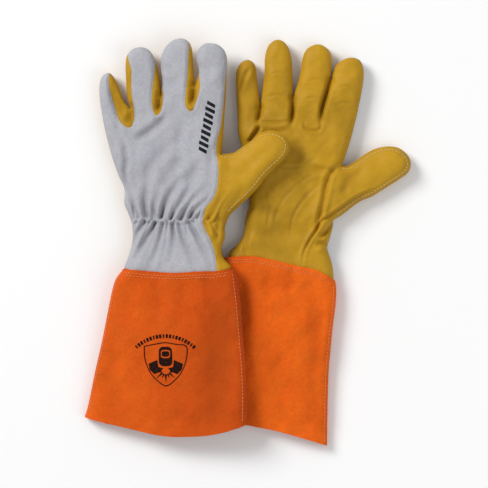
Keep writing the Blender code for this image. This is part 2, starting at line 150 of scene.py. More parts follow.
# Where the white back of the left glove ends: round the three crotches, and down its thumb side.
WHITE_EDGES = (
    ((-59, 42.5), (-59.5, 30.5), (-57.5, 20), (-54.5, 10), (-51, -0.5), (-46.5, -6.5), (-42, -9),
     (-38.5, -8), (-37.5, -2.5), (-37.5, 4.5), (-39, 20), (-39.5, 32), (-39, 41), (-41, 47.5), (-44.5, 60)),
    ((-20, 56), (-18.5, 46), (-19, 37), (-20.5, 25.5), (-21, 13.5), (-19, 4.5), (-16.5, 1.5), (-14, 3),
     (-12, 8), (-11.5, 18.5), (-12.5, 36)),
    ((9.5, 71), (11.5, 63.5), (11.5, 55), (11, 39), (9.5, 22), (9, 11.5), (11.5, 6.5), (14, 5), (16.5, 7),
     (18.5, 12.5), (20.5, 18.5), (22, 28.5), (19, 43.5)),
)
WHITE_SIDE = ((48, 46), (44.5, 37), (43, 17.5), (40.5, -6), (37.5, -19.5), (36.5, -30.5), (38.5, -41),
              (39, -51), (37.5, -63), (34, -72), (28, -79), (25.5, -86), (24.5, -93), (27, -100),
              (30.5, -106), (34, -115), (36.5, -126.5), (37.5, -141))

# Clefts from the crotches into the hand, as (route, half-width, share of the height that is lost). The first
# three belong to the crotches, from the little finger to the index finger.
LEFT_CLEFTS = (
    (((-41, 9), (-39.5, 2), (-40, -7)), 3.8, 0.72),
    (((-14, 20), (-15, 11), (-16.5, 2)), 2.5, 0.82),
    (((16, 30), (15.5, 18), (13.5, 7)), 2.5, 0.82),
    (((-51, 20), (-47, 8), (-43, -2)), 6.0, 0.42),
)
RIGHT_CLEFTS = (
    (((-41.5, 15), (-42, 10.5), (-44.5, -2)), 1.9, 0.85),
    (((-13, 24), (-13, 11.5), (-15, -6)), 1.9, 0.92),
    (((20.5, 39), (16.5, 24.5), (12.5, 9.5), (11.5, -6)), 2.0, 0.95),
)

# Pleats that fan out from the elastic of the left wrist, as (route, half-width, depth at the elastic).
LEFT_PLEATS = (
    (((-33, -88), (-37.5, -77), (-44, -58)), 1.7, 2.6),
    (((-25, -88), (-27, -73), (-23, -50)), 1.9, 2.8),
    (((-17, -89), (-18, -78), (-13, -66)), 1.4, 2.0),
    (((-12.5, -88), (-7, -73), (6, -52)), 1.9, 3.2),
    (((-3.5, -89), (4, -77), (18, -58)), 1.7, 3.0),
    (((5, -90), (11, -79), (24, -64)), 1.6, 2.8),
    (((13, -88), (18, -81), (31, -71)), 1.5, 2.4),
    (((-27, -92), (-36, -106), (-47, -126)), 1.8, 3.2),
    (((-18, -93), (-27, -109), (-41, -133)), 1.6, 2.8),
    (((-11, -94), (-15, -112), (-24, -138)), 1.5, 2.2),
    (((-3, -94), (-1, -108), (-5, -130)), 1.5, 1.8),
    (((3, -94), (9, -111), (20, -138)), 1.6, 2.6),
    (((12, -93), (22, -109), (36, -136)), 1.7, 2.9),
)

# Folds in the upper sheet, as (route, half-width, depth, lip): a valley with raised lips on both sides.
LEFT_FOLDS = (
    (((-36, -21), (-23, -12.5), (-14, -5.5), (-6, 2)), 3.0, 2.1, 0.6),
    (((-43, -66), (-45, -50), (-43.5, -37.5), (-47, -18)), 2.4, 2.2, 0.6),
    (((-58, 28), (-53, 4), (-50, -18)), 3.0, 1.5, 0.5),
    (((-27, -56), (-20, -40), (-6, -28)), 5.0, 1.7, 0.5),
    (((-10, -62), (-2, -46), (8, -34)), 5.0, 1.5, 0.4),
    (((10, -62), (17, -50), (24, -34)), 4.5, 1.3, 0.4),
    (((4, -2), (5, -12), (1, -26)), 4.0, 1.3, 0.4),
    (((28, -60), (32, -42), (33, -22)), 4.0, 1.1, 0.4),
    (((-9, 47), (-3, 38), (1, 24)), 4.5, 0.9, 0.3),
    (((30, 48), (28, 36), (31, 22)), 4.5, 0.7, 0.3),
    (((60, -46), (72, -36), (80, -30)), 5.0, 0.9, 0.4),
    (((50, -84), (56, -70), (64, -60)), 4.0, 1.0, 0.4),
    (((39, -86), (38, -98), (36, -110)), 2.2, 1.6, 0.5),
    (((45, -44), (54, -48), (62, -50)), 4.0, 0.8, 0.4),
)
RIGHT_FOLDS = (
    (((-50.5, 49), (-57, 38), (-61.5, 25.5)), 2.0, 2.2, 0.4),
    (((-41.5, -3), (-46.5, -11), (-52, -19)), 1.8, 3.4, 0.5),
    (((-44, 1), (-28.5, -0.5), (-14, 1)), 1.2, 1.1, 0.5),
    (((-43, -8), (-28.5, -8.5), (-14, -6)), 2.2, 1.0, 0.5),
    (((-3.5, 2), (-2, -5), (4, -7.5), (10.5, -6.5), (12, 0)), 1.1, 1.3, 0.6),
    (((31, -38), (23, -42.5), (17.5, -51.5), (14, -68.5), (9.5, -88), (7, -102)), 2.0, 2.4, 0.6),
    (((66, -58), (52, -62), (38, -70), (24.5, -79.5), (13, -87), (7, -96), (1.5, -104.5), (-3, -114.5),
      (-5, -127)), 1.1, 1.6, 0.9),
    (((25, -87), (17.5, -96), (9.5, -103)), 2.2, 3.0, 0.7),
    (((22, -112), (15, -107), (6, -108)), 2.4, 2.2, 0.6),
    (((39.5, -43), (34.5, -54), (30.5, -66)), 4.0, 1.6, 0.4),
    (((46, -38), (42, -50), (40, -62)), 5.0, 1.2, 0.4),
    (((26, -43), (14, -42), (3, -40)), 2.6, 1.6, 0.5),
    (((24, -32), (14, -28), (4, -26)), 4.0, 1.2, 0.4),
    (((-26, -40), (-8, -50), (0, -66), (2, -84)), 5.0, 1.3, 0.4),
    (((-36, -46), (-18, -58), (-8, -72), (-5, -88)), 5.0, 1.1, 0.4),
    (((-46, -72), (-30, -80), (-18, -78)), 5.0, 1.5, 0.3),
    (((-12, -14), (-9, -26), (-12, -38)), 7.0, 1.6, 0.2),
    (((-46, -100), (-28, -96), (-8, -98)), 8.0, 1.5, 0.2),
    (((-53, -118), (-55, -108), (-52, -96)), 2.0, 1.5, 0.6),
    (((10, -30), (-4, -38), (-20, -40), (-34, -36)), 1.3, 0.6, 0.6),
    (((8, -44), (-8, -54), (-24, -72), (-30, -92)), 1.3, 0.6, 0.6),
    (((12, -54), (0, -64), (-12, -82), (-16, -102)), 1.3, 0.6, 0.6),
    (((-40, -58), (-34, -76), (-36, -96)), 1.3, 0.6, 0.6),
    (((26, 30), (32, 32), (38, 31)), 1.0, 0.5, 0.6),
    (((24, 14), (31, 17), (40, 16)), 1.2, 0.6, 0.6),
    (((0, 36), (7, 38), (15, 36)), 1.0, 0.5, 0.6),
    (((-2, 20), (5, 22), (11, 20)), 1.1, 0.6, 0.6),
    (((-33, 42), (-26, 44), (-19, 42)), 1.0, 0.5, 0.6),
    (((-36, 22), (-28, 24), (-18, 22)), 1.1, 0.6, 0.6),
)
LEFT_CUFF_FOLDS = (
    (((34, -150), (40, -185), (36, -230), (30, -276)), 16.0, 3.2, 0.2),
    (((-20, -142), (-16, -165), (-18, -190)), 7.0, 1.4, 0.3),
    (((8, -142), (6, -160), (10, -180)), 6.0, 1.5, 0.3),
    (((-50, -160), (-58, -200), (-62, -250)), 10.0, 1.3, 0.3),
    (((26, -140), (30, -156), (28, -172)), 5.0, 1.3, 0.3),
)
RIGHT_CUFF_FOLDS = (
    (((-52, -124), (-60, -170), (-72, -220), (-80, -262)), 9.0, 3.0, 0.4),
    (((-6, -132), (2, -160), (4, -200)), 9.0, 1.7, 0.4),
    (((-34, -124), (-36, -140), (-30, -160)), 6.0, 1.6, 0.3),
    (((-18, -128), (-14, -140), (-18, -152)), 5.0, 1.5, 0.4),
    (((14, -145), (8, -190), (6, -240), (10, -278)), 7.0, 1.6, 0.4),
    (((-24, -200), (-26, -235), (-20, -268)), 10.0, 1.2, 0.3),
)

# Height stations of a glove, from its hem to its fingertips, as (place, middle, rise, rounding of the rim).
LEFT_STATIONS = ((-280, 5.0, 6.6, 14.0), (-160, 8.0, 8.6, 14.0), (-130, 9.0, 9.2, 13.0),
                 (-92, 9.0, 8.4, 13.0), (-45, 9.0, 11.6, 17.0), (-5, 9.0, 9.2, 14.0), (20, 9.0, 8.5, 11.5))
RIGHT_STATIONS = ((-280, 5.0, 6.6, 14.0), (-150, 8.0, 8.2, 14.0), (-125, 9.0, 9.2, 13.0),
                  (-100, 9.0, 9.2, 13.0), (-50, 9.0, 12.2, 17.0), (-5, 9.0, 9.4, 14.0), (20, 9.0, 8.6, 11.5))
THUMB_RISE = 9.0
THUMB_ROUNDING = 13.0
LEFT_THUMB_PITCH = 0.021  # how much the left thumb climbs along its length
RIM_POWER = 2.2  # 2 makes a round rim, and more makes it squarer
TABLE_GAP = 0.3  # the least height of leather above the table
CUFF_LAP = 1.9  # how far the cuff lies outside the hand's leather
DETAIL_EDGE = 5.0  # folds fade out this near to the rim

# Painted light and shade across each cuff: how light it is at its outer and at its inner side, from 0, dark,
# to 1, light.
CUFF_SIDE_LIGHT = {"left": (0.58, 0.16), "right": (0.62, 1.0)}
CUFF_SPACING = 1.25  # the cuff's points are this many times further apart than the hand's

# Gathers over the elastic of the wrist: the band's place, the distance from fold to fold, their height, how
# far they reach, the lean of the folds above and below the band, and the part that is filled more finely.
GATHER_PLACE = {"left": (-4.0, -91.0), "right": (-19.0, -108.0)}
GATHER_PITCH = 8.0
GATHER_HEIGHT = 3.6
GATHER_REACH = 44.0
GATHER_FADE = 12.0
LEAN_ABOVE = (0.27, 0.012)
LEAN_BELOW = (-0.10, 0.016)
FINE_BELOW = 32.0
FINE_ABOVE = 34.0
FINE_SPACING = 0.75

OUTLINE_STEP = 1.4
HEXAGON_ROW = 0.866  # height of a row of triangles with sides of 1
RIM_RINGS = (0.08, 0.32, 0.85, 1.7, 3.0)
FOURCHETTE_DEPTH = RIM_RINGS[-1]
CLEFT_LINES = (-1.9, -0.95, 0.95, 1.9)  # lines of points beside each parting line of the right palm
WALL_ROWS = 5  # rows of points up a finger's side where it parts from its neighbour
WALL_GAP = 0.05
WALL_LEATHER = 0.7

STITCH_SHARE = {"cuff": 0.66, "thumb": 0.62}  # a stitch's length as a share of its pitch
ELASTIC_HALF = 30.0
ELASTIC_STEP = 1.2
ELASTIC_ROWS = 7
ELASTIC_DEPTH = 2.0
ELASTIC_THICKNESS = 1.0
PRINT_SPACING = 0.8
PRINT_LIFT = 0.16
PRINT_THICKNESS = 0.1
BAR_COUNT = 9
BAR_PITCH = 5.1
BAR_WIDTH = 3.1
BAR_SLANT = 1.3
BADGE_PLACE = (-8.5, -216.0)
BADGE_SIZE = 17.2

KEY_PLACE = (-2.4, 1.9, 2.5)
FILL_PLACE = (0.9, -0.5, 1.1)
CAMERA_HEIGHT = 4.0
VIEW_WIDTH = 0.4319
VIEW_OFFSET = (-0.0045, -0.0011)
FLOOR_REACH = 3.0


def smooth(points, step=OUTLINE_STEP):
    """An even Catmull-Rom curve through the points."""
    points = np.array(points, float)
    ends = np.vstack([2 * points[0] - points[1], points, 2 * points[-1] - points[-2]])
    share = np.linspace(0.0, 1.0, 17)[:-1, None]
    pieces = []
    for a, b, c, d in zip(ends, ends[1:], ends[2:], ends[3:]):
        pieces.append(0.5 * (2 * b + (c - a) * share + (2 * a - 5 * b + 4 * c - d) * share ** 2
                             + (3 * b - a - 3 * c + d) * share ** 3))
    return even(np.vstack(pieces + [points[-1:]]), step)


def even(curve, step):
    """The same curve, with its points this far apart."""
    at = np.concatenate([[0.0], np.cumsum(np.linalg.norm(np.diff(curve, axis=0), axis=1))])
    wanted = np.linspace(0.0, at[-1], max(2, round(at[-1] / step) + 1))
    return np.stack([np.interp(wanted, at, values) for values in curve.T], axis=1)


def ease(share):
    share = np.clip(share, 0.0, 1.0)
    return share * share * (3.0 - 2.0 * share)


def unit(vectors, least=1e-9):
    """The vectors, each made one long."""
    return vectors / np.maximum(np.linalg.norm(vectors, axis=1), least)[:, None]


def facing(corners):
    """A vector out of the front of each triangle."""
    return np.cross(corners[:, 1] - corners[:, 0], corners[:, 2] - corners[:, 0])


def rounded(away, reach):
    """How far the leather has risen at a distance from the rim, from 0 to 1 over its reach."""
    return (1.0 - (1.0 - np.clip(away / reach, 0.0, 1.0)) ** RIM_POWER) ** (1.0 / RIM_POWER)


def grid_faces(rows, wide):
    """The triangles between rows of points, with this many points in a row."""
    faces = []
    for row in range(rows - 1):
        for column in range(wide - 1):
            a = row * wide + column
            faces += [(a, a + 1, a + wide + 1), (a, a + wide + 1, a + wide)]
    return np.array(faces)


def triangulated(points, edges, rim):
    """Triangles over the points, inside the loop that the first rim of them make."""
    found = delaunay_2d_cdt([Vector(point) for point in points], edges, [list(range(rim))], 1, 1e-6)
    return np.array([vert[:] for vert in found[0]]), np.array(found[2], int)


def stations_at(stations, place):
    """The stations' values at these places, eased from each to the next."""
    table = np.array(stations, float)
    found = np.clip(np.searchsorted(table[:, 0], place) - 1, 0, len(table) - 2)
    low, high = table[found], table[found + 1]
    share = ease((place - low[:, 0]) / (high[:, 0] - low[:, 0]))[:, None]
    return (low + (high - low) * share)[:, 1:].T


def near(points, line):
    """How far each point is from the line, and how far along the line its nearest place is, from 0 to 1."""
    start, run = line[:-1], np.diff(line, axis=0)
    length = np.maximum(np.linalg.norm(run, axis=1), 1e-9)
    before = np.concatenate([[0.0], np.cumsum(length)[:-1]])
    away, along = np.empty(len(points)), np.empty(len(points))
    for first in range(0, len(points), 4000):
        offset = points[first:first + 4000, None, :] - start
        share = np.clip((offset * run).sum(2) / length ** 2, 0.0, 1.0)
        gap = ((offset - share[..., None] * run) ** 2).sum(2)
        best = gap.argmin(1)
        rows = np.arange(len(best))
        away[first:first + 4000] = np.sqrt(gap[rows, best])
        along[first:first + 4000] = (before[best] + share[rows, best] * length[best]) / length.sum()
    return away, along


def inside(points, loop):
    """Whether each point is inside the closed loop."""
    x, y = points.T
    odd = np.zeros(len(points), bool)
    for (x1, y1), (x2, y2) in zip(loop, np.roll(loop, -1, axis=0)):
        if y1 != y2:
            odd ^= ((y1 > y) != (y2 > y)) & (x < (x2 - x1) * (y - y1) / (y2 - y1) + x1)
    return odd


def rumple(points, seed, longest, shortest, count=14):
    """Soft random waves, about -1 to 1, between these wavelengths."""
    draw = np.random.default_rng(seed)
    total = np.zeros(len(points))
    for _ in range(count):
        length = shortest * (longest / shortest) ** draw.random()
        angle, phase = draw.random(2) * 2.0 * math.pi
        wave = points @ np.array([math.cos(angle), math.sin(angle)]) * 2.0 * math.pi / length
        total += (length / longest) ** 0.7 * np.sin(wave + phase)
    return total / math.sqrt(count / 2.0)


def filled(loop, lines, spacing, fine):
    """Points and triangles that fill a loop, with edges along the lines.

    fine is (low y, high y, spacing) of a band that is filled more closely."""
    loop = loop[:-1] if np.allclose(loop[0], loop[-1]) else loop
    area = np.sum(loop[:, 0] * np.roll(loop[:, 1], -1) - loop[:, 1] * np.roll(loop[:, 0], -1))
    if area < 0:
        loop = loop[::-1]
    closed = np.vstack([loop, loop[:1]])
    run = np.roll(loop, -1, axis=0) - np.roll(loop, 1, axis=0)
    inward = unit(np.stack([-run[:, 1], run[:, 0]], axis=1))
    chosen = []
    for depth in RIM_RINGS:
        ring = loop + inward * depth
        chosen.append(ring[(near(ring, closed)[0] > 0.9 * depth) & inside(ring, loop)])
    low, high = loop.min(axis=0), loop.max(axis=0)

    def hexagons(gap, bottom, top):
        rows = [np.empty((0, 2))]
        for number, y in enumerate(np.arange(bottom, top, gap * HEXAGON_ROW)):
            x = np.arange(low[0] + (number % 2) * gap / 2.0, high[0], gap)
            rows.append(np.column_stack([x, np.full(len(x), y)]))
        return np.vstack(rows)

    grid = np.vstack([hexagons(spacing, low[1], min(high[1], fine[0])),
                      hexagons(fine[2], max(low[1], fine[0]), min(high[1], fine[1])),
                      hexagons(spacing, max(low[1], fine[1]), high[1])])
    grid = grid[inside(grid, loop)]
    grid = grid[near(grid, closed)[0] > RIM_RINGS[-1] + 0.6 * spacing]
    extra = np.vstack(chosen + [grid])
    for line in lines:
        extra = extra[near(extra, line)[0] > 0.45 * spacing]
    points = np.vstack([loop] + list(lines) + [extra])
    edges, first = [], len(loop)
    for line in lines:
        edges += [(first + number, first + number + 1) for number in range(len(line) - 1)]
        first += len(line)
    plan, faces = triangulated(points, edges, len(loop))
    used = np.unique(faces)
    slot = np.full(len(plan), -1)
    slot[used] = np.arange(len(used))
    return plan[used], slot[faces]


class Glove:
    """A glove in its plan: its place in the frame, its outlines and the heights of its leather."""

    def __init__(self, name, top, hand, cuff, stations, clefts, folds, cuff_folds, pitch):
        self.name, self.top, self.stations = name, top, stations
        self.body = name + "_glove"
        self.dye = CUFF_SIDE_LIGHT[name]
        self.hinges = {joint["child"]: joint for joint in FRAME["joints"]}
        right_middle = self.hinges["right_middle"]
        self.hinge_height = place_of(right_middle).z / MM
        self.origin = place_of(self.hinges[name + "_middle"])
        axis = axis_of(self.hinges[name + "_middle"])
        self.tilt = math.atan2(axis.z, axis.x)
        self.strokes = [smooth(stroke) for stroke in hand]
        self.hand_rim = np.vstack(self.strokes)
        self.cuff = {side: smooth(stroke) for side, stroke in cuff.items()}
        self.pleats = [(smooth(route), *sizes) for route, *sizes in (LEFT_PLEATS if name == "left" else ())]
        self.clefts = [(smooth(route), *sizes) for route, *sizes in clefts]
        self.folds = [(smooth(route), *sizes) for route, *sizes in folds]
        self.cuff_folds = [(smooth(route), *sizes) for route, *sizes in cuff_folds]
        self.pitch = pitch
        self.digits = {digit: self.digit_line(digit) for digit in DIGITS}
        self.parting = [self.parting_line(number) for number in range(len(DIGITS) - 2)]

    def to_plan(self, point):
        """A point of the frame, in metres, in this glove's plan."""
        x, y, z = (point - self.origin) / MM
        cos, sin = math.cos(self.tilt), math.sin(self.tilt)
        return Vector((x * cos + z * sin, y, z * cos - x * sin + self.hinge_height))

    def to_frame(self, points):
        """Plan points as points of the frame, in metres."""
        x, y, z = points[:, 0], points[:, 1], points[:, 2] - self.hinge_height
        cos, sin = math.cos(self.tilt), math.sin(self.tilt)
        turned = np.stack([x * cos - z * sin, y, x * sin + z * cos], axis=1)
        return turned * MM + np.array(self.origin)

    def digit_line(self, digit):
        """A digit's hinge and the direction it points from there, in the plan."""
        joint = self.hinges[self.name + "_" + digit]
        hinge = self.to_plan(place_of(joint))
        beside = self.to_plan(place_of(joint) + axis_of(joint) * MM) - hinge
        along = np.array([-beside.y, beside.x])
        return np.array([hinge.x, hinge.y]), along / np.linalg.norm(along)

    def parting_line(self, number):
        """Where two neighbouring fingers part, from their crotch back to the start of their bends."""
        crotch = self.strokes[number][-1]
        cleft = self.clefts[number][0]
        here, beyond = self.digits[DIGITS[number]], self.digits[DIGITS[number + 1]]
        foot = (here[0] + beyond[0]) / 2.0 - (here[1] + beyond[1]) / 2.0 * DIGIT_CUT[DIGITS[number]]
        outside = crotch + (crotch - cleft[len(cleft) // 2]) * 0.1
        return smooth([outside, cleft[len(cleft) // 2], foot])

    def past_hinge(self, points, digit):
        """How far the points are past a digit's hinge, and how far to its inner side."""
        hinge, along = self.digits[digit]
        offset = points - hinge
        return offset @ along, offset @ np.array([along[1], -along[0]])

    def digit_at(self, points):
        """Which digit each point belongs to, as its number in DIGITS, or -1 in the hand."""
        chosen, nearest = np.full(len(points), -1), np.full(len(points), np.inf)
        for number, digit in enumerate(DIGITS[:-1]):
            ahead, beside = self.past_hinge(points, digit)
            share = np.where(ahead > -DIGIT_CUT[digit], np.abs(beside) / DIGIT_HALF[digit], np.inf)
            chosen[share < nearest] = number
            nearest = np.minimum(share, nearest)
        for number, line in enumerate(self.parting):
            shared = ((chosen == number) | (chosen == number + 1)) & (points[:, 1] < line[0][1])
            middle = np.interp(points[:, 1], line[::-1, 1], line[::-1, 0])
            chosen[shared] = np.where(points[shared, 0] < middle[shared], number, number + 1)
        ahead, beside = self.past_hinge(points, "thumb")
        reached = ahead > np.maximum(0.0, -THUMB_ROOT_SLOPE * beside - THUMB_ROOT_EDGE) - DIGIT_CUT["thumb"]
        reached &= (beside > -DIGIT_HALF["thumb"]) & (beside < THUMB_INNER_REACH)
        chosen[reached] = DIGITS.index("thumb")
        return chosen

    def gathers(self, points):
        """The small folds that the wrist's elastic pulls into the leather, valleys below zero."""
        x0, y0 = GATHER_PLACE[self.name]
        x, up = points[:, 0] - x0, points[:, 1] - y0
        up = up + 1.3 * np.sin(x * 0.21) + 0.8 * np.sin(x * 0.47 + 2.0)
        ridges = []
        for lean, way, offset in ((LEAN_ABOVE, up, 0.0), (LEAN_BELOW, -up, 0.5)):
            run = np.maximum(way, 0.0)
            root = (x - lean[0] * run) / (1.0 + lean[1] * run)
            root = root + 1.3 * np.sin(root * 0.37) + 0.8 * np.sin(root * 0.83 + 1.0)
            reach = 12.0 + 4.0 * np.sin(root * 0.55 + 3.0 * offset) + 3.0 * np.sin(root * 0.23 + 1.0)
            fold = np.abs(np.sin(math.pi * (root / GATHER_PITCH + offset))) ** 0.75
            ridges.append((fold - 0.62) * np.exp(-(run / np.maximum(reach, 7.0)) ** 1.6))
        blend = ease((up + 2.2) / 4.4)
        pulled = -1.1 * np.exp(-(up / 6.0) ** 2)
        return GATHER_HEIGHT * (ridges[0] * blend + ridges[1] * (1.0 - blend)) + pulled

    def seams(self, points):
        """The groove where the white back is sewn on, with its puckered lips."""
        total = np.zeros(len(points))
        if self.name != "left":
            return total
        for edge in WHITE_EDGES + (WHITE_SIDE,):
            away, _ = near(points, smooth(edge))
            total += -0.9 * np.exp(-(away / 0.8) ** 2) + 0.45 * np.exp(-((away - 2.2) / 1.3) ** 2)
        return total

    def lifted(self, points, up, piece):
        """The heights of the upper or lower sheet of the hand or cuff, and how much shade is painted into its
        colour there, deeper in its folds, clefts and dents.
        """
        if piece == "hand":
            away = near(points, self.hand_rim)[0]
        else:
            away = np.minimum(near(points, self.cuff["inner"])[0], near(points, self.cuff["outer"])[0])
        middle, rise, rounding = stations_at(self.stations, points[:, 1])
        ahead, beside = self.past_hinge(points, "thumb")
        thumb = ease((ahead + 12.0) / 26.0) * ease((62.0 - np.abs(beside)) / 16.0)
        rise = rise + (THUMB_RISE - rise) * thumb
        rounding = rounding + (THUMB_ROUNDING - rounding) * thumb
        pitched = self.pitch * np.maximum(ahead, 0.0) * thumb
        middle = middle + pitched
        fade = ease(away / DETAIL_EDGE)
        lap = CUFF_LAP if piece == "cuff" else 0.0
        if not up:
            edge = rounded(away, 0.5 * rounding)
            floor = TABLE_GAP + pitched
            if piece == "hand":
                floor = floor + CUFF_LAP * ease((self.cuff["top"][:, 1].mean() + 14.0 - points[:, 1]) / 10.0)
            table = self.hinge_height + TABLE_GAP / math.cos(self.tilt)
            table = table - (self.origin.z / MM + points[:, 0] * math.sin(self.tilt)) / math.cos(self.tilt)
            floor = np.maximum(floor, table)
            dents = np.maximum(rumple(points, 7, 46.0, 18.0), 0.0) * 0.9
            if self.top == "palm" and piece == "hand":
                dents = dents + np.maximum(-self.gathers(points), 0.0) * 0.8
            # Painted shade: the lower sheet is darkened in its dents.
            return middle - (middle - floor) * edge + dents * fade, dents * 0.25
        edge = rounded(away, rounding)
        waves = rumple(points, 3, 60.0, 22.0) * 0.75 + rumple(points, 5, 20.0, 7.0) * 0.22
        detail = np.zeros(len(points))
        for route, half, depth, lip in (self.folds if piece == "hand" else self.cuff_folds):
            gap, along = near(points, route)
            taper = ease(np.minimum(along, 1.0 - along) / 0.28 + 0.15)
            detail -= depth * taper * (np.exp(-(gap / half) ** 2)
                                       - lip * np.exp(-((gap - 2.1 * half) / (1.2 * half)) ** 2))
        if piece == "hand":
            for route, half, depth in self.pleats:
                gap, along = near(points, route)
                wide = half * (0.8 + 1.2 * along)
                fold = np.exp(-(gap / wide) ** 2) - 0.5 * np.exp(-((gap - 2.0 * wide) / (1.1 * wide)) ** 2)
                detail -= depth * fold * np.maximum(1.0 - along, 0.0) ** 0.55
            if self.top == "back":
                from_band = np.abs(points[:, 1] - GATHER_PLACE[self.name][1])
                detail = detail + self.gathers(points) * ease((GATHER_REACH - from_band) / GATHER_FADE)
            detail = detail + self.seams(points)
        lost = np.zeros(len(points))
        for route, half, share in self.clefts if piece == "hand" else ():
            gap, along = near(points, route)
            lost = np.maximum(lost, share * ease((1.0 - along) / 0.45) * np.exp(-(gap / half) ** 2))
        height = (lap * edge + rise * edge + (waves + detail) * fade) * (1.0 - lost)
        height = middle + np.maximum(height, 0.2 * np.minimum(away, 4.0))
        # Painted shade: darker in the clefts between the fingers and in the valleys of the folds, pleats,
        # gathers and seams.
        return height, np.clip(1.2 * lost - detail / 2.8, 0.0, 1.0) ** 1.5

    def surface(self, points, up, piece):
        """Points of a sheet in the plan, in three dimensions."""
        return np.column_stack([points, self.lifted(points, up, piece)[0]])


def place_of(joint):
    return Vector(joint["pos_m"])


def axis_of(joint):
    return Vector(joint["axis"]).normalized()


def sheet_of(glove, up, piece, plan, faces):
    """A sheet's points, triangles that face outwards, smooth normals, painted shade and triangle centres."""
    heights, hollow = glove.lifted(plan, up, piece)
    points = np.column_stack([plan, heights])
    flat = facing(points[faces])
    flipped = (flat[:, 2] > 0) != up
    faces = np.where(flipped[:, None], faces[:, ::-1], faces)
    flat = np.where(flipped[:, None], -flat, flat)
    normals = np.zeros_like(points)
    for corner in range(3):
        np.add.at(normals, faces[:, corner], flat)
    return {"points": points, "faces": faces, "normals": unit(normals, 1e-12), "hollow": hollow,
            "centres": plan[faces].mean(axis=1)}


def thickened(sheet, chosen, thickness):
    """The chosen triangles of a sheet as a closed piece: points, faces, corner normals, painted fold shade
    and painted side light.
    """
    faces = sheet["faces"][chosen]
    used, faces = np.unique(faces, return_inverse=True)
    faces = faces.reshape(-1, 3)
    outer, normals = sheet["points"][used], sheet["normals"][used]
    inner = outer - normals * thickness
    count = len(used)
    sides = np.vstack([faces[:, [0, 1]], faces[:, [1, 2]], faces[:, [2, 0]]])
    keys = sides.min(axis=1) * count + sides.max(axis=1)
    _, first, times = np.unique(keys, return_index=True, return_counts=True)
    rim = sides[first[times == 1]]
    walls = np.vstack([np.column_stack([rim[:, 1], rim[:, 0], rim[:, 0] + count]),
                       np.column_stack([rim[:, 1], rim[:, 0] + count, rim[:, 1] + count])])
    points = np.vstack([outer, inner])
    flat = unit(facing(points[walls]), 1e-12)
    corner_normals = np.vstack([normals[faces].reshape(-1, 3), -normals[faces[:, ::-1]].reshape(-1, 3),
                                np.repeat(flat, 3, axis=0)])
    hollow = np.concatenate([sheet["hollow"][used]] * 2)
    tone = np.concatenate([sheet.get("tone", np.full(len(sheet["points"]), 0.5))[used]] * 2)
    return points, np.vstack([faces, faces[:, ::-1] + count, walls]), corner_normals, hollow, tone


def make_mesh(name, glove, pieces, material):
    """A mesh object of some closed pieces, in the frame, with rest place, painted fold shade and painted side
    light as attributes.
    """
    points, faces, normals, hollow, tone, first = [], [], [], [], [], 0
    for piece in pieces:
        points.append(piece[0])
        faces.append(piece[1] + first)
        normals.append(piece[2])
        hollow.append(piece[3])
        tone.append(piece[4])
        first += len(piece[0])
    points, faces, normals = np.vstack(points), np.vstack(faces), np.vstack(normals)
    mesh = bpy.data.meshes.new(name)
    mesh.from_pydata(glove.to_frame(points).tolist(), [], faces.tolist())
    mesh.shade_smooth()
    cos, sin = math.cos(glove.tilt), math.sin(glove.tilt)
    turned = np.column_stack([normals[:, 0] * cos - normals[:, 2] * sin, normals[:, 1],
                              normals[:, 0] * sin + normals[:, 2] * cos])
    mesh.normals_split_custom_set(turned.tolist())
    rest = mesh.attributes.new("rest", "FLOAT_VECTOR", "POINT")
    rest.data.foreach_set("vector", (points * MM).ravel())
    for field, values in (("hollow", hollow), ("tone", tone)):
        mesh.attributes.new(field, "FLOAT", "POINT").data.foreach_set("value", np.concatenate(values))
    mesh.materials.append(material)
    obj = bpy.data.objects.new(name, mesh)
    bpy.context.scene.collection.objects.link(obj)
    return obj


def hang(obj, glove, digit=None):
    """Makes a piece follow the glove. For a digit's piece it works out where a bend over the hinge would
    start and end, uses neither, and only bakes the piece's transform into its mesh.
    """
    if digit is None:
        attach(obj, glove.body)
        return
    hinge, along = glove.digits[digit]
    ends = [hinge - along * DIGIT_CUT[digit], hinge + along * DIGIT_BEND[digit]]
    start, end = glove.to_frame(np.array([(*point, glove.hinge_height) for point in ends]))
    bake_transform(obj)


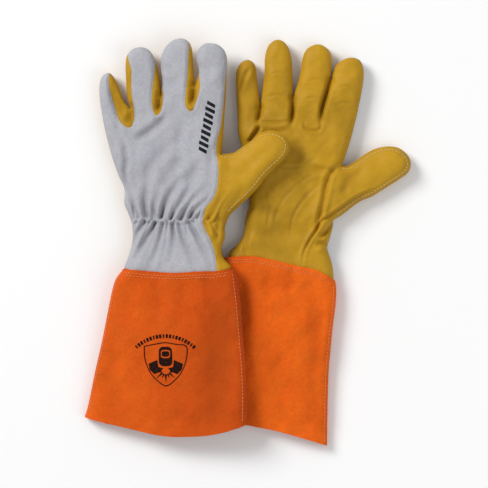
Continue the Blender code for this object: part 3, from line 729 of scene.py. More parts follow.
class Finish:
    """A material's nodes, made one after another."""

    def __init__(self, name):
        self.material = bpy.data.materials.new(name)
        self.material.use_nodes = True
        self.nodes = self.material.node_tree.nodes
        self.shader = self.nodes["Principled BSDF"]
        self.rest = self.add("ShaderNodeAttribute", attribute_name="rest").outputs["Vector"]
        self.hollow = self.add("ShaderNodeAttribute", attribute_name="hollow").outputs["Fac"]
        self.tone = self.add("ShaderNodeAttribute", attribute_name="tone").outputs["Fac"]

    def add(self, kind, inputs=None, **settings):
        node = self.nodes.new(kind)
        for key, value in settings.items():
            setattr(node, key, value)
        for key, value in (inputs or {}).items():
            self.set(node.inputs[key], value)
        return node

    def set(self, socket, value):
        if isinstance(value, bpy.types.NodeSocket):
            self.material.node_tree.links.new(value, socket)
        else:
            socket.default_value = value

    def noise(self, scale, detail=3.0, stretch=(1.0, 1.0, 1.0)):
        """Noise with this many features to the metre, pulled out along an axis by a stretch below 1."""
        mapped = self.add("ShaderNodeMapping", {"Vector": self.rest, "Scale": stretch})
        return self.add("ShaderNodeTexNoise", {"Vector": mapped.outputs["Vector"], "Scale": scale,
                                               "Detail": detail}).outputs["Fac"]

    def cells(self, scale, feature="F1"):
        return self.add("ShaderNodeTexVoronoi", {"Vector": self.rest, "Scale": scale},
                        feature=feature).outputs["Distance"]

    def ranged(self, value, low, high, to_low=0.0, to_high=1.0):
        return self.add("ShaderNodeMapRange", {"Value": value, "From Min": low, "From Max": high,
                                               "To Min": to_low, "To Max": to_high}).outputs["Result"]

    def maths(self, operation, a, b):
        return self.add("ShaderNodeMath", {0: a, 1: b}, operation=operation).outputs["Value"]

    def mix(self, share, a, b, blend="MIX"):
        node = self.add("ShaderNodeMix", data_type="RGBA", blend_type=blend)
        for key, value in ((0, share), (6, a), (7, b)):
            self.set(node.inputs[key], value)
        return node.outputs[2]

    def bump(self, height, strength, distance, below=None):
        inputs = {"Height": height, "Strength": strength, "Distance": distance}
        if below is not None:
            inputs["Normal"] = below
        return self.add("ShaderNodeBump", inputs).outputs["Normal"]


def colour(rgb):
    return (*rgb, 1.0)


def shade(rgb, factor):
    return colour([min(1.0, value * factor) for value in rgb])


def split_leather(name, rgb, streak, blotch, mottle, tint):
    """Suede: short nap with brushed streaks, soft blotches, clouds of tint, painted light and shade from side
    to side, and painted shade in the folds.
    """
    finish = Finish(name)
    blotches = finish.ranged(finish.noise(24.0, 3.0), 0.32, 0.68)
    brushed = finish.ranged(finish.noise(110.0, 4.0, (1.0, streak, 1.0)), 0.3, 0.7)
    nap = finish.noise(1500.0, 4.0, (1.0, 0.45, 1.0))
    flecks = finish.ranged(finish.noise(620.0, 3.0), 0.55, 0.8)
    base = finish.mix(blotches, shade(rgb, 1.0 - blotch), shade(rgb, 1.0 + 0.7 * blotch))
    base = finish.mix(finish.maths("MULTIPLY", brushed, 0.30), base, shade(rgb, 1.0 + 1.2 * blotch))
    base = finish.mix(finish.maths("MULTIPLY", flecks, 0.35), base, shade(rgb, 0.80))
    base = finish.mix(finish.ranged(nap, 0.35, 0.7, 0.0, 0.22), base, shade(rgb, 0.84))
    spots = finish.ranged(finish.noise(400.0, 5.0), 0.36, 0.64)
    spots = finish.mix(spots, colour([1.0 - mottle] * 3), colour([1.0 + mottle] * 3))
    base = finish.mix(1.0, base, spots, "MULTIPLY")
    clouds = finish.ranged(finish.noise(60.0, 3.0), 0.35, 0.65)
    base = finish.mix(clouds, base, finish.mix(1.0, base, colour(tint), "MULTIPLY"))
    # Painted light and shade across the cuffs: lighter and yellower at one side and darker at the other. The
    # middle value, used elsewhere, leaves the colour almost as it is.
    side_lit = finish.mix(finish.tone, colour((0.80, 0.70, 0.72)), colour((1.20, 1.34, 1.24)))
    base = finish.mix(1.0, base, side_lit, "MULTIPLY")
    # Painted shade in the folds, clefts and dents, and between the fingers.
    base = finish.mix(finish.maths("MULTIPLY", finish.hollow, 0.45), base, shade(rgb, 0.50))
    finish.set(finish.shader.inputs["Base Color"], base)
    finish.set(finish.shader.inputs["Roughness"], finish.ranged(nap, 0.3, 0.7, 0.80, 0.95))
    finish.shader.inputs["Sheen Weight"].default_value = 0.05
    finish.shader.inputs["Sheen Roughness"].default_value = 0.5
    finish.shader.inputs["Specular IOR Level"].default_value = 0.12
    deep = finish.bump(finish.noise(230.0, 5.0), 0.6, 0.0009)
    fine = finish.bump(nap, 0.8, 0.0003, deep)
    finish.set(finish.shader.inputs["Normal"], fine)
    return finish.material


def grain_leather(name, rgb):
    """Smooth grain leather: fine pebbles and creases, a soft gloss, darker pores, and painted shade in the
    folds.
    """
    finish = Finish(name)
    blotches = finish.ranged(finish.noise(21.0, 4.0), 0.33, 0.67)
    clouds = finish.ranged(finish.noise(85.0, 4.0), 0.35, 0.7)
    pebbles = finish.cells(820.0, "SMOOTH_F1")
    creases = finish.ranged(finish.cells(240.0, "DISTANCE_TO_EDGE"), 0.0, 0.12)
    pores = finish.ranged(finish.noise(1700.0, 2.0), 0.58, 0.75)
    base = finish.mix(blotches, shade(rgb, 0.80), shade(rgb, 1.12))
    light = colour((rgb[0] * 1.12, rgb[1] * 1.2, rgb[2] * 1.5))
    # The colour of the shade painted into the folds.
    deep = colour((rgb[0] * 0.50, rgb[1] * 0.42, rgb[2] * 0.30))
    base = finish.mix(finish.maths("MULTIPLY", clouds, 0.35), base, light)
    base = finish.mix(finish.maths("MULTIPLY", pores, 0.35), base, shade(rgb, 0.62))
    base = finish.mix(finish.ranged(pebbles, 0.0, 0.7, 0.0, 0.22), base, shade(rgb, 0.70))
    # Painted shade in the folds, clefts and dents, and between the fingers.
    base = finish.mix(finish.maths("MULTIPLY", finish.hollow, 0.55), base, deep)
    finish.set(finish.shader.inputs["Base Color"], base)
    finish.set(finish.shader.inputs["Roughness"], finish.ranged(clouds, 0.0, 1.0, 0.48, 0.64))
    finish.shader.inputs["Specular IOR Level"].default_value = 0.18
    wrinkles = finish.bump(finish.noise(300.0, 5.0, (0.45, 1.0, 1.0)), 0.5, 0.0007)
    dents = finish.bump(finish.noise(150.0, 5.0), 0.5, 0.0010, wrinkles)
    lines = finish.bump(creases, 0.16, 0.0003, dents)
    finish.set(finish.shader.inputs["Normal"], finish.bump(pebbles, 0.28, 0.00025, lines))
    return finish.material


def thread(name, rgb):
    """Twisted sewing thread."""
    finish = Finish(name)
    twist = finish.noise(2600.0, 2.0, (1.0, 0.5, 1.0))
    base = finish.mix(finish.ranged(twist, 0.35, 0.65), shade(rgb, 0.72), shade(rgb, 1.08))
    finish.set(finish.shader.inputs["Base Color"], base)
    finish.shader.inputs["Roughness"].default_value = 0.55
    finish.set(finish.shader.inputs["Normal"], finish.bump(twist, 0.5, 0.0002))
    return finish.material


def ink(name, rgb, under):
    """Printing ink that has sunk into the nap and is rubbed through in places."""
    finish = Finish(name)
    rubbed = finish.ranged(finish.noise(1100.0, 4.0), 0.60, 0.74)
    finish.set(finish.shader.inputs["Base Color"], finish.mix(rubbed, colour(rgb), shade(under, 0.35)))
    finish.shader.inputs["Roughness"].default_value = 0.85
    finish.shader.inputs["Specular IOR Level"].default_value = 0.06
    finish.set(finish.shader.inputs["Normal"], finish.bump(finish.noise(1500.0, 3.0), 0.4, 0.0002))
    return finish.material


def knit(name, rgb):
    """Ribbed elastic."""
    finish = Finish(name)
    ribs = finish.add("ShaderNodeTexWave", {"Vector": finish.rest, "Scale": 260.0, "Distortion": 1.5,
                                            "Detail": 2.0}, bands_direction="X").outputs["Fac"]
    finish.set(finish.shader.inputs["Base Color"], finish.mix(ribs, shade(rgb, 0.7), shade(rgb, 1.0)))
    finish.shader.inputs["Roughness"].default_value = 0.9
    finish.set(finish.shader.inputs["Normal"], finish.bump(ribs, 0.7, 0.0004))
    return finish.material


def both_gloves():
    """The two gloves, made once and kept for the operators."""
    if not GLOVES:
        GLOVES.append(Glove("left", "back", LEFT_HAND, LEFT_CUFF, LEFT_STATIONS, LEFT_CLEFTS,
                            LEFT_FOLDS, LEFT_CUFF_FOLDS, LEFT_THUMB_PITCH))
        GLOVES.append(Glove("right", "palm", RIGHT_HAND, RIGHT_CUFF, RIGHT_STATIONS, RIGHT_CLEFTS,
                            RIGHT_FOLDS, RIGHT_CUFF_FOLDS, 0.0))
    return GLOVES


def has_fourchette(number, inner):
    """Whether this side of a finger faces another finger, so that a strip of leather is sewn in there."""
    return DIGITS[number] != ("index" if inner else "little")


def gold_on_top(glove, centres):
    """Which triangles of the left glove's upper sheet are outside the white back."""
    gold = np.zeros(len(centres), bool)
    for edge in WHITE_EDGES:
        gold |= inside(centres, smooth(edge))
    side = smooth(WHITE_SIDE)
    far = np.array([(200.0, side[-1][1] - 40.0), (200.0, side[0][1] + 2.0)])
    return gold | inside(centres, np.vstack([side, far]))


def hand_labels(glove, sheet, up, away):
    """The frame's node for each triangle of a hand sheet."""
    centres = sheet["centres"]
    digit = glove.digit_at(centres)
    is_back = up == (glove.top == "back")
    face = "_back" if is_back else "_front"
    labels = np.full(len(centres), glove.name + ("_hand_back" if is_back else "_hand_palm"), dtype="<U40")
    two_tone = up and glove.top == "back"
    gold = gold_on_top(glove, centres) if two_tone else np.zeros(len(centres), bool)
    if two_tone:
        labels[gold] = glove.name + "_hand_palm"
    for number, name in enumerate(DIGITS):
        here = digit == number
        stem = glove.name + "_" + name
        if name == "thumb":
            labels[here & (gold | (not two_tone))] = stem + face
            continue
        labels[here] = stem + face
        beside = glove.past_hinge(centres, name)[1]
        for inner, side in ((False, beside < 0), (True, beside >= 0)):
            if two_tone:
                strip = here & side & gold
            elif not up and glove.top == "palm":
                strip = here & side & (away < FOURCHETTE_DEPTH)
            else:
                continue
            if has_fourchette(number, inner):
                labels[strip] = stem + ("_inner" if inner else "_outer") + "_fourchette"
            elif two_tone:
                labels[strip] = stem + "_front"
    return labels


def slot_of(node):
    """The record's material slot of a frame node."""
    if "elastic" in node:
        return "knitted_elastic"
    if "cuff" in node:
        return "orange_split_leather"
    if node.endswith("_back") and "thumb" not in node:
        return "white_split_leather"
    return "gold_grain_leather"


def finish_piece(node):
    """Hides the part of the frame node that a piece stands for."""
    if node:
        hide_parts(node)


def finger_wall(glove, line, way):
    """A finger's side between its two sheets where it parts from its neighbour, which is on the way side."""
    top, bottom = glove.surface(line, True, "hand"), glove.surface(line, False, "hand")
    run = unit(np.gradient(line, axis=0))
    out = np.column_stack([-run[:, 1], run[:, 0], np.zeros(len(line))]) * way
    rows = [bottom + (top - bottom) * share for share in np.linspace(0.02, 0.98, WALL_ROWS)]
    points = np.vstack(rows) - np.tile(out, (WALL_ROWS, 1)) * WALL_GAP
    faces = grid_faces(WALL_ROWS, len(line))
    among = len(faces) // 2
    if facing(points[faces[among:among + 1]])[0] @ out[len(line) // 2] < 0:
        faces = faces[:, ::-1]
    # Painted shade: the finger's side between two fingers is darkened all over.
    sheet = {"points": points, "faces": faces, "normals": np.tile(out, (WALL_ROWS, 1)),
             "hollow": np.full(len(points), 0.3)}
    return thickened(sheet, np.ones(len(faces), bool), WALL_LEATHER)


def make_hands(glove, thickness, spacing):
    """The panels of the hand and the digits, cut from the hand's two sheets."""
    loop = np.vstack([stroke[:-1] for stroke in glove.strokes] + [glove.strokes[-1][-1:]])
    close = even(np.array([glove.strokes[-1][-1], glove.strokes[0][0]]), 3.0)[1:-1]
    loop = np.vstack([loop, close])
    band = GATHER_PLACE[glove.name][1]
    fine = (band - FINE_BELOW, band + FINE_ABOVE, spacing * FINE_SPACING)
    groups = {}
    for up in (True, False):
        lines = list(glove.parting)
        if up and glove.name == "left":
            lines += [smooth(edge) for edge in WHITE_EDGES + (WHITE_SIDE,)]
        if up and glove.name == "right":
            lines += [beside(line, away) for line in glove.parting for away in CLEFT_LINES]
        plan, faces = filled(loop, lines, spacing, fine)
        sheet = sheet_of(glove, up, "hand", plan, faces)
        away = near(sheet["centres"], glove.hand_rim)[0]
        labels = hand_labels(glove, sheet, up, away)
        for node in np.unique(labels):
            groups.setdefault(str(node), []).append(thickened(sheet, labels == node, thickness))
    for number, line in enumerate(glove.parting):
        line = line[inside(line, loop)]
        for digit, side, way in ((DIGITS[number], "inner", 1.0), (DIGITS[number + 1], "outer", -1.0)):
            node = "_".join((glove.name, digit, side, "fourchette"))
            groups[node].append(finger_wall(glove, line, way))
    for node, pieces in sorted(groups.items()):
        slot = slot_of(node)
        obj = make_mesh(node + "_leather", glove, pieces, FINISHES[slot])
        digit = next((name for name in DIGITS if "_" + name + "_" in node), None)
        hang(obj, glove, digit)
        finish_piece(node)


def make_cuffs(glove, thickness, spacing):
    """The two panels of the cuff, open at the hand and at the hem."""
    loop = np.vstack([glove.cuff[side][:-1] for side in ("top", "inner", "hem", "outer")])
    for up in (True, False):
        plan, faces = filled(loop, [], spacing, (0.0, 0.0, spacing))
        sheet = sheet_of(glove, up, "cuff", plan, faces)
        across = (plan[:, 0] - plan[:, 0].min()) / np.ptp(plan[:, 0])
        # Painted light and shade, from the cuff's outer to its inner side.
        sheet["tone"] = glove.dye[0] + (glove.dye[1] - glove.dye[0]) * ease((across - 0.15) / 0.7)
        everything = np.ones(len(sheet["faces"]), bool)
        node = glove.name + ("_cuff_back" if up == (glove.top == "back") else "_cuff_palm")
        obj = make_mesh(node + "_leather", glove, [thickened(sheet, everything, thickness)],
                        FINISHES["orange_split_leather"])
        hang(obj, glove)
        finish_piece(node)


def tube(path, radius, sides=8, shape=None):
    """A closed round tube along a path, with a radius for each of its points if shape is given."""
    shape = np.ones(len(path)) if shape is None else shape
    run = unit(np.gradient(path, axis=0))
    side = unit(np.cross(run, np.array([0.0, 0.0, 1.0])))
    rise = np.cross(side, run)
    angle = np.arange(sides) * 2.0 * math.pi / sides
    out = side[:, None] * np.cos(angle)[None, :, None] + rise[:, None] * np.sin(angle)[None, :, None]
    points = (path[:, None] + out * (radius * shape)[:, None, None]).reshape(-1, 3)
    faces = []
    for row in range(len(path) - 1):
        for turn in range(sides):
            a, b = row * sides + turn, row * sides + (turn + 1) % sides
            faces += [(a, b + sides, b), (a, a + sides, b + sides)]
    last = (len(path) - 1) * sides
    faces += [(0, turn, turn + 1) for turn in range(1, sides - 1)]
    faces += [(last, last + turn + 1, last + turn) for turn in range(1, sides - 1)]
    faces = np.array(faces)
    normals = out.reshape(-1, 3)[faces].reshape(-1, 3)
    return points, faces, normals, np.zeros(len(points)), np.full(len(points), 0.5)


def stitch_row(glove, route, up, piece, pitch, length, radius, lift=0.15):
    """Stitches lying on a sheet along a route in the plan."""
    centres = even(route, pitch)
    middle = (centres[:-1] + centres[1:]) / 2.0
    run = unit(np.diff(centres, axis=0))
    shares = np.array([-0.5, -0.38, 0.0, 0.38, 0.5])
    plan = (middle[:, None] + run[:, None] * shares[None, :, None] * length).reshape(-1, 2)
    paths = glove.surface(plan, up, piece)
    paths[:, 2] += (lift + radius * 0.5) * (1.0 if up else -1.0)
    paths = paths.reshape(-1, len(shares), 3)
    paths[:, [0, -1], 2] -= radius * 0.9 * (1.0 if up else -1.0)
    width = np.array([0.45, 0.9, 1.0, 0.9, 0.45])
    return [tube(path, radius, 6, width) for path in paths]


def beside(route, distance):
    """A route moved sideways, to its left for a distance above 0."""
    run = unit(np.gradient(route, axis=0))
    return route + np.column_stack([-run[:, 1], run[:, 0]]) * distance


def make_stitches(glove, pitch, radius):
    """The visible rows of stitches: the cuff's, and the thumb's in a piece of their own."""
    cuff = glove.cuff
    routes = (beside(cuff["top"], -3.0)[3:-3], beside(cuff["top"], -5.2)[4:-4],
              beside(cuff["inner"], -2.6)[3:-2], beside(cuff["outer"], -2.6)[3:-2])
    rows = []
    for route in routes:
        rows += stitch_row(glove, route, True, "cuff", pitch, STITCH_SHARE["cuff"] * pitch, radius)
    obj = make_mesh(glove.name + "_cuff_stitches", glove, rows, FINISHES["orange_thread"])
    hang(obj, glove)
    finish_piece(None)

    thumb_stroke = glove.strokes[DIGITS.index("thumb")]
    border = beside(thumb_stroke, -2.4)
    border = border[near(border, thumb_stroke)[0] > 2.2]
    border = border[glove.digit_at(border) == DIGITS.index("thumb")]
    row = stitch_row(glove, border, True, "hand", pitch, STITCH_SHARE["thumb"] * pitch, radius * 0.9)
    obj = make_mesh(glove.name + "_thumb_stitches", glove, row, FINISHES["gold_thread"])
    hang(obj, glove, "thumb")
    finish_piece(None)


def make_welt(glove, radius):
    """The rolled strip of leather in the thumb's seam."""
    stroke = glove.strokes[DIGITS.index("thumb")]
    stroke = stroke[glove.digit_at(stroke) == DIGITS.index("thumb")]
    middle = stations_at(glove.stations, stroke[:, 1])[0]
    ahead = glove.past_hinge(stroke, "thumb")[0]
    path = np.column_stack([stroke, middle + glove.pitch * np.maximum(ahead, 0.0)])
    ends = np.minimum(np.arange(len(path)), np.arange(len(path))[::-1])
    obj = make_mesh(glove.name + "_thumb_welt_leather", glove,
                    [tube(path, radius, 10, 0.3 + 0.7 * ease(ends / 4.0))], FINISHES["gold_grain_leather"])
    hang(obj, glove, "thumb")
    finish_piece(glove.name + "_thumb_welt")


def make_elastic(glove, width):
    """The elastic band inside the back of the wrist, gathered with the leather over it."""
    x0, y0 = GATHER_PLACE[glove.name]
    up = glove.top == "back"
    across = np.arange(-ELASTIC_HALF, ELASTIC_HALF + 0.1, ELASTIC_STEP)
    rows = np.linspace(-0.5, 0.5, ELASTIC_ROWS) * width
    plan = np.array([(x0 + x, y0 + y) for y in rows for x in across])
    points = glove.surface(plan, up, "hand")
    points[:, 2] += -ELASTIC_DEPTH if up else ELASTIC_DEPTH
    faces = grid_faces(ELASTIC_ROWS, len(across))
    normals = np.tile([0.0, 0.0, 1.0 if up else -1.0], (len(points), 1))
    if not up:
        faces = faces[:, ::-1]
    sheet = {"points": points, "faces": faces, "normals": normals, "hollow": np.zeros(len(points))}
    node = glove.name + "_wrist_elastic"
    band = thickened(sheet, np.ones(len(faces), bool), ELASTIC_THICKNESS)
    obj = make_mesh(node + "_band", glove, [band], FINISHES["knitted_elastic"])
    hang(obj, glove)
    finish_piece(node)


def printed(glove, outlines, piece):
    """Flat printed shapes that follow the upper sheet."""
    shapes = []
    for outline in outlines:
        loop = even(np.vstack([outline, outline[:1]]), PRINT_SPACING)[:-1]
        low, high = loop.min(axis=0), loop.max(axis=0)
        rows, columns = (np.arange(low[axis], high[axis], PRINT_SPACING) for axis in (1, 0))
        grid = np.array([(x, y) for y in rows for x in columns])
        grid = grid[inside(grid, loop)]
        grid = grid[near(grid, np.vstack([loop, loop[:1]]))[0] > 0.35] if len(grid) else np.empty((0, 2))
        plan, faces = triangulated(np.vstack([loop, grid]), [], len(loop))
        sheet = sheet_of(glove, True, piece, plan, faces)
        sheet["points"][:, 2] += PRINT_LIFT
        shapes.append(thickened(sheet, np.ones(len(faces), bool), PRINT_THICKNESS))
    return shapes


def arc(centre, radius, count, start, stop):
    angle = np.linspace(start, stop, count)
    return np.column_stack([centre[0] + radius * np.cos(angle), centre[1] + radius * np.sin(angle)])


def arc_band(centre, inner, outer, start, stop, count):
    return np.vstack([arc(centre, outer, count, start, stop), arc(centre, inner, count, stop, start)])


def shield(centre, size):
    """A shield's outline, this big from its middle to its top."""
    corners = ((-1.12, 0.86), (-0.55, 0.97), (0.0, 1.05), (0.55, 0.97), (1.12, 0.86), (1.10, 0.2),
               (0.86, -0.45), (0.48, -0.92), (0.0, -1.22), (-0.48, -0.92), (-0.86, -0.45), (-1.10, 0.2),
               (-1.12, 0.86))
    return centre + smooth(np.array(corners) * size, 0.8)[:-1]


def rounded_box(centre, half_width, half_height, round_off):
    """A box with round corners."""
    corners = []
    for number, (right, up) in enumerate(((1, 1), (-1, 1), (-1, -1), (1, -1))):
        place = centre + np.array([right * (half_width - round_off), up * (half_height - round_off)])
        corners.append(arc(place, round_off, 6, number * math.pi / 2.0, (number + 1) * math.pi / 2.0))
    return np.vstack(corners)


def ring_of(outer, inner):
    """Two halves of the band between two loops with equally many points."""
    half = len(outer) // 2
    return [np.vstack([outer[:half + 1], inner[:half + 1][::-1]]),
            np.vstack([outer[half:], outer[:1], inner[:1], inner[half:][::-1]])]


def shield_marks(centre):
    """A plain shield round a welder's mask, two gauntlets and rays, with a dashed arc above it."""
    border = shield(centre, BADGE_SIZE)
    outer = even(np.vstack([border, border[:1]]), 1.0)
    inner = centre + (outer - centre) * 0.95
    marks = ring_of(outer[:-1], inner[:-1])
    mask = centre + np.array([0.0, 5.5])
    box = rounded_box(mask, 6.0, 8.6, 4.0)
    shell = even(np.vstack([box, box[:1]]), 0.7)[:-1]
    visor = mask + (shell - mask) * np.array([0.70, 0.42]) + np.array([0.0, 2.2])
    marks += ring_of(shell, visor)
    glass = mask + (shell - mask) * np.array([0.56, 0.28]) + np.array([0.0, 2.2])
    marks.append(glass)
    gauntlet = np.array([(7.4, 2.4), (11.2, 0.8), (15.4, -1.0), (14.2, -6.2), (10.2, -10.2), (5.0, -7.8),
                         (2.0, -5.0), (6.6, -3.8)])
    for side in (-1.0, 1.0):
        marks.append(centre + gauntlet[::int(side)] * np.array([side, 1.0]))
    for number in range(7):
        angle = math.radians(270.0 + (number - 3) * 24.0)
        out = np.array([math.cos(angle), math.sin(angle)])
        across = np.array([-out[1], out[0]])
        start = centre + np.array([0.0, -6.2])
        reach = 11.5 if number % 2 else 8.4
        root = start + out * 4.0
        marks.append(np.array([root - across, start + out * reach, root + across]))
    for number in range(20):
        angle = math.radians(131.0 - number * 4.3)
        wide = 0.027 if number % 3 else 0.017
        marks.append(arc_band(centre + np.array([0.0, -15.7]), 37.4, 40.8, angle - wide, angle + wide, 4))
    return marks


def make_prints(glove):
    """A row of slanted bars beside the index finger, and a plain shield on the cuff."""
    top, bottom = np.array([32.5, 12.5]), np.array([24.5, -33.0])
    along = (bottom - top) / np.linalg.norm(bottom - top)
    across = np.array([-along[1], along[0]])
    bars = []
    for number in range(BAR_COUNT):
        place = top + along * (number * BAR_PITCH)
        half = 4.4 if number % 2 else 3.7
        slant = along * BAR_SLANT
        outer, inner = place - across * half - slant, place + across * half + slant
        bars.append(np.array([outer, inner, inner + along * BAR_WIDTH, outer + along * BAR_WIDTH]))
    obj = make_mesh("left_hand_bars_print", glove, printed(glove, bars, "hand"), FINISHES["hand_ink"])
    hang(obj, glove, "index")
    finish_piece(None)

    marks = shield_marks(np.array(BADGE_PLACE))
    obj = make_mesh("left_cuff_badge_print", glove, printed(glove, marks, "cuff"), FINISHES["cuff_ink"])
    hang(obj, glove)
    finish_piece(None)


class LeatherSizes(bpy.types.PropertyGroup):
    """Sizes of the leather and how finely it is modelled."""

    hand: bpy.props.FloatProperty(name="Hand leather", description="Thickness of the hand's leather",
                                  default=1.1 * MM, unit="LENGTH")
    cuff: bpy.props.FloatProperty(name="Cuff leather", description="Thickness of the cuff's leather",
                                  default=1.4 * MM, unit="LENGTH")
    spacing: bpy.props.FloatProperty(name="Spacing", description="Distance between the leather's points",
                                     default=1.45 * MM, unit="LENGTH")
    welt: bpy.props.FloatProperty(name="Welt radius",
                                  description="Radius of the rolled strip round the thumb",
                                  default=0.75 * MM, unit="LENGTH")


class SewingSizes(bpy.types.PropertyGroup):
    """Sizes of the stitches and of the elastic."""

    pitch: bpy.props.FloatProperty(name="Stitch pitch", description="Distance from stitch to stitch",
                                   default=3.2 * MM, unit="LENGTH")
    thread: bpy.props.FloatProperty(name="Thread radius", description="Radius of the sewing thread",
                                    default=0.34 * MM, unit="LENGTH")
    elastic: bpy.props.FloatProperty(name="Elastic width", description="Width of the elastic band",
                                     default=10.0 * MM, unit="LENGTH")


class GloveColours(bpy.types.PropertyGroup):
    """Colours of the leathers, threads and inks."""

    white: bpy.props.FloatVectorProperty(name="White leather", description="Colour of the backs",
                                         default=(0.405, 0.398, 0.440), subtype="COLOR")
    gold: bpy.props.FloatVectorProperty(name="Gold leather", description="Colour of the palms and thumbs",
                                        default=(0.480, 0.260, 0.010), subtype="COLOR")
    orange: bpy.props.FloatVectorProperty(name="Orange leather", description="Colour of the cuffs",
                                          default=(0.63, 0.094, 0.005), subtype="COLOR")
    band: bpy.props.FloatVectorProperty(name="Elastic", description="Colour of the wrist's elastic",
                                        default=(0.62, 0.60, 0.55), subtype="COLOR")


class StageLight(bpy.types.PropertyGroup):
    """Strengths of the soft light."""

    dome: bpy.props.FloatProperty(name="Dome", description="Strength of the light from all round",
                                  default=0.46)
    key: bpy.props.FloatProperty(name="Key", description="Power of the large lamp", default=120.0,
                                 unit="POWER")
    fill: bpy.props.FloatProperty(name="Fill", description="Power of the second lamp", default=5.0,
                                  unit="POWER")


class GLOVES_OT_finishes(bpy.types.Operator):
    """Make the leathers, threads and inks"""

    bl_idname = "gloves.finishes"
    bl_label = "Finishes"

    def execute(self, context):
        colours = context.scene.glove_colours
        white, gold, orange = (tuple(value) for value in (colours.white, colours.gold, colours.orange))
        FINISHES["white_split_leather"] = split_leather("white_split_leather", white, 0.5, 0.06, 0.05,
                                                       (0.96, 0.96, 0.99))
        FINISHES["gold_grain_leather"] = grain_leather("gold_grain_leather", gold)
        FINISHES["orange_split_leather"] = split_leather("orange_split_leather", orange, 0.16, 0.14, 0.05,
                                                        (1.0, 0.90, 0.85))
        FINISHES["knitted_elastic"] = knit("knitted_elastic", tuple(colours.band))
        FINISHES["orange_thread"] = thread("orange_thread", (0.80, 0.24, 0.06))
        FINISHES["gold_thread"] = thread("gold_thread", (0.72, 0.55, 0.22))
        FINISHES["hand_ink"] = ink("hand_ink", (0.010, 0.011, 0.014), white)
        FINISHES["cuff_ink"] = ink("cuff_ink", (0.014, 0.006, 0.005), orange)
        return {"FINISHED"}


class GLOVES_OT_hands(bpy.types.Operator):
    """Make the leather panels of both hands and their digits"""

    bl_idname = "gloves.hands"
    bl_label = "Hands and digits"

    def execute(self, context):
        leather = context.scene.glove_leather
        for glove in both_gloves():
            make_hands(glove, leather.hand / MM, leather.spacing / MM)
        return {"FINISHED"}


class GLOVES_OT_cuffs(bpy.types.Operator):
    """Make the leather panels of both cuffs"""

    bl_idname = "gloves.cuffs"
    bl_label = "Cuffs"

    def execute(self, context):
        leather = context.scene.glove_leather
        for glove in both_gloves():
            make_cuffs(glove, leather.cuff / MM, leather.spacing / MM * CUFF_SPACING)
        return {"FINISHED"}


class GLOVES_OT_welts(bpy.types.Operator):
    """Make the rolled welts in the thumbs' seams"""

    bl_idname = "gloves.welts"
    bl_label = "Thumb welts"

    def execute(self, context):
        for glove in both_gloves():
            make_welt(glove, context.scene.glove_leather.welt / MM)
        return {"FINISHED"}


class GLOVES_OT_elastics(bpy.types.Operator):
    """Make the elastic bands inside the wrists"""

    bl_idname = "gloves.elastics"
    bl_label = "Wrist elastics"

    def execute(self, context):
        for glove in both_gloves():
            make_elastic(glove, context.scene.glove_sewing.elastic / MM)
        return {"FINISHED"}


class GLOVES_OT_stitches(bpy.types.Operator):
    """Make the visible rows of stitches"""

    bl_idname = "gloves.stitches"
    bl_label = "Stitches"

    def execute(self, context):
        sewing = context.scene.glove_sewing
        for glove in both_gloves():
            make_stitches(glove, sewing.pitch / MM, sewing.thread / MM)
        return {"FINISHED"}


class GLOVES_OT_prints(bpy.types.Operator):
    """Print the bars on the hand and the badge on the cuff"""

    bl_idname = "gloves.prints"
    bl_label = "Prints"

    def execute(self, context):
        make_prints(both_gloves()[0])
        return {"FINISHED"}


class GLOVES_OT_stage(bpy.types.Operator):
    """Make the floor, the lights and the camera that looks straight down"""

    bl_idname = "gloves.stage"
    bl_label = "Stage"

    def execute(self, context):
        scene = context.scene
        light = scene.glove_stage
        low, high = (Vector(corner) for corner in CAD_BOX)
        middle = (low + high) / 2.0
        make_floor()
        world = bpy.data.worlds.new("soft_room")
        world.use_nodes = True
        world.node_tree.nodes["Background"].inputs["Color"].default_value = (1.0, 1.0, 1.0, 1.0)
        world.node_tree.nodes["Background"].inputs["Strength"].default_value = light.dome
        scene.world = world
        make_lamp("key", KEY_PLACE, light.key, 1.6, middle)
        make_lamp("fill", FILL_PLACE, light.fill, 1.2, middle)
        scene.view_settings.view_transform = "Standard"
        camera = bpy.data.cameras.new("camera")
        camera.sensor_width = 36.0
        camera.lens = camera.sensor_width * CAMERA_HEIGHT / VIEW_WIDTH
        camera.clip_end = 20.0
        eye = bpy.data.objects.new("camera", camera)
        eye.location = (middle.x + VIEW_OFFSET[0], middle.y + VIEW_OFFSET[1], CAMERA_HEIGHT)
        scene.collection.objects.link(eye)
        scene.camera = eye
        return {"FINISHED"}


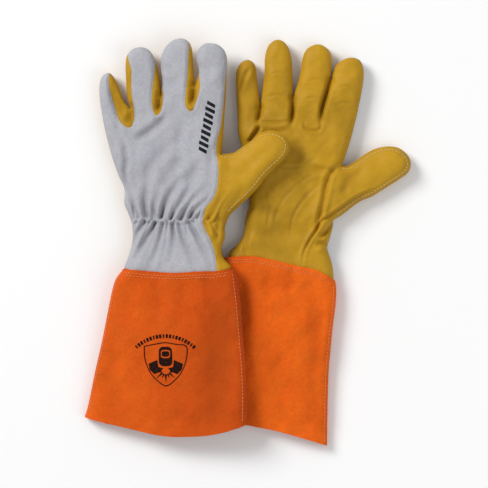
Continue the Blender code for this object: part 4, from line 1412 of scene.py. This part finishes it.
def make_floor():
    """A wide pale floor."""
    mesh = bpy.data.meshes.new("floor")
    corners = [(x * FLOOR_REACH, y * FLOOR_REACH, 0.0) for x, y in ((-1, -1), (1, -1), (1, 1), (-1, 1))]
    mesh.from_pydata(corners, [], [(0, 1, 2, 3)])
    material = bpy.data.materials.new("pale_floor")
    material.use_nodes = True
    shader = material.node_tree.nodes["Principled BSDF"]
    shader.inputs["Base Color"].default_value = (0.93, 0.93, 0.93, 1.0)
    shader.inputs["Roughness"].default_value = 0.9
    mesh.materials.append(material)
    floor = bpy.data.objects.new("floor", mesh)
    bpy.context.scene.collection.objects.link(floor)


def make_lamp(name, place, power, size, target):
    """A square soft lamp that faces the gloves."""
    lamp = bpy.data.lights.new(name, "AREA")
    lamp.energy = power
    lamp.size = size
    obj = bpy.data.objects.new(name, lamp)
    obj.location = place
    obj.rotation_euler = (target - Vector(place)).to_track_quat("-Z", "Y").to_euler()
    bpy.context.scene.collection.objects.link(obj)


class GLOVES_PT_panel(bpy.types.Panel):
    """Sizes, colours and steps of the gloves"""

    bl_idname = "GLOVES_PT_panel"
    bl_label = "Welding gloves"
    bl_space_type = "VIEW_3D"
    bl_region_type = "UI"
    bl_category = "Gloves"

    def draw(self, context):
        for name in ("glove_leather", "glove_sewing", "glove_colours", "glove_stage"):
            group = getattr(context.scene, name)
            for field in group.bl_rna.properties.keys():
                if field not in ("rna_type", "name"):
                    self.layout.prop(group, field)
        for step in STEPS:
            self.layout.operator(step.bl_idname)


STEPS = (GLOVES_OT_finishes, GLOVES_OT_stage, GLOVES_OT_hands, GLOVES_OT_cuffs, GLOVES_OT_welts,
         GLOVES_OT_elastics, GLOVES_OT_stitches, GLOVES_OT_prints)
GROUPS = {"glove_leather": LeatherSizes, "glove_sewing": SewingSizes, "glove_colours": GloveColours,
          "glove_stage": StageLight}


def register():
    for name, group in GROUPS.items():
        bpy.utils.register_class(group)
        setattr(bpy.types.Scene, name, bpy.props.PointerProperty(type=group))
    for step in STEPS + (GLOVES_PT_panel,):
        bpy.utils.register_class(step)


def unregister():
    for step in (GLOVES_PT_panel,) + STEPS[::-1]:
        bpy.utils.unregister_class(step)
    for name, group in reversed(GROUPS.items()):
        delattr(bpy.types.Scene, name)
        bpy.utils.unregister_class(group)


def main():
    register()
    for step in STEPS:
        group, name = step.bl_idname.split(".")
        getattr(getattr(bpy.ops, group), name)()


if __name__ == "__main__":
    main()
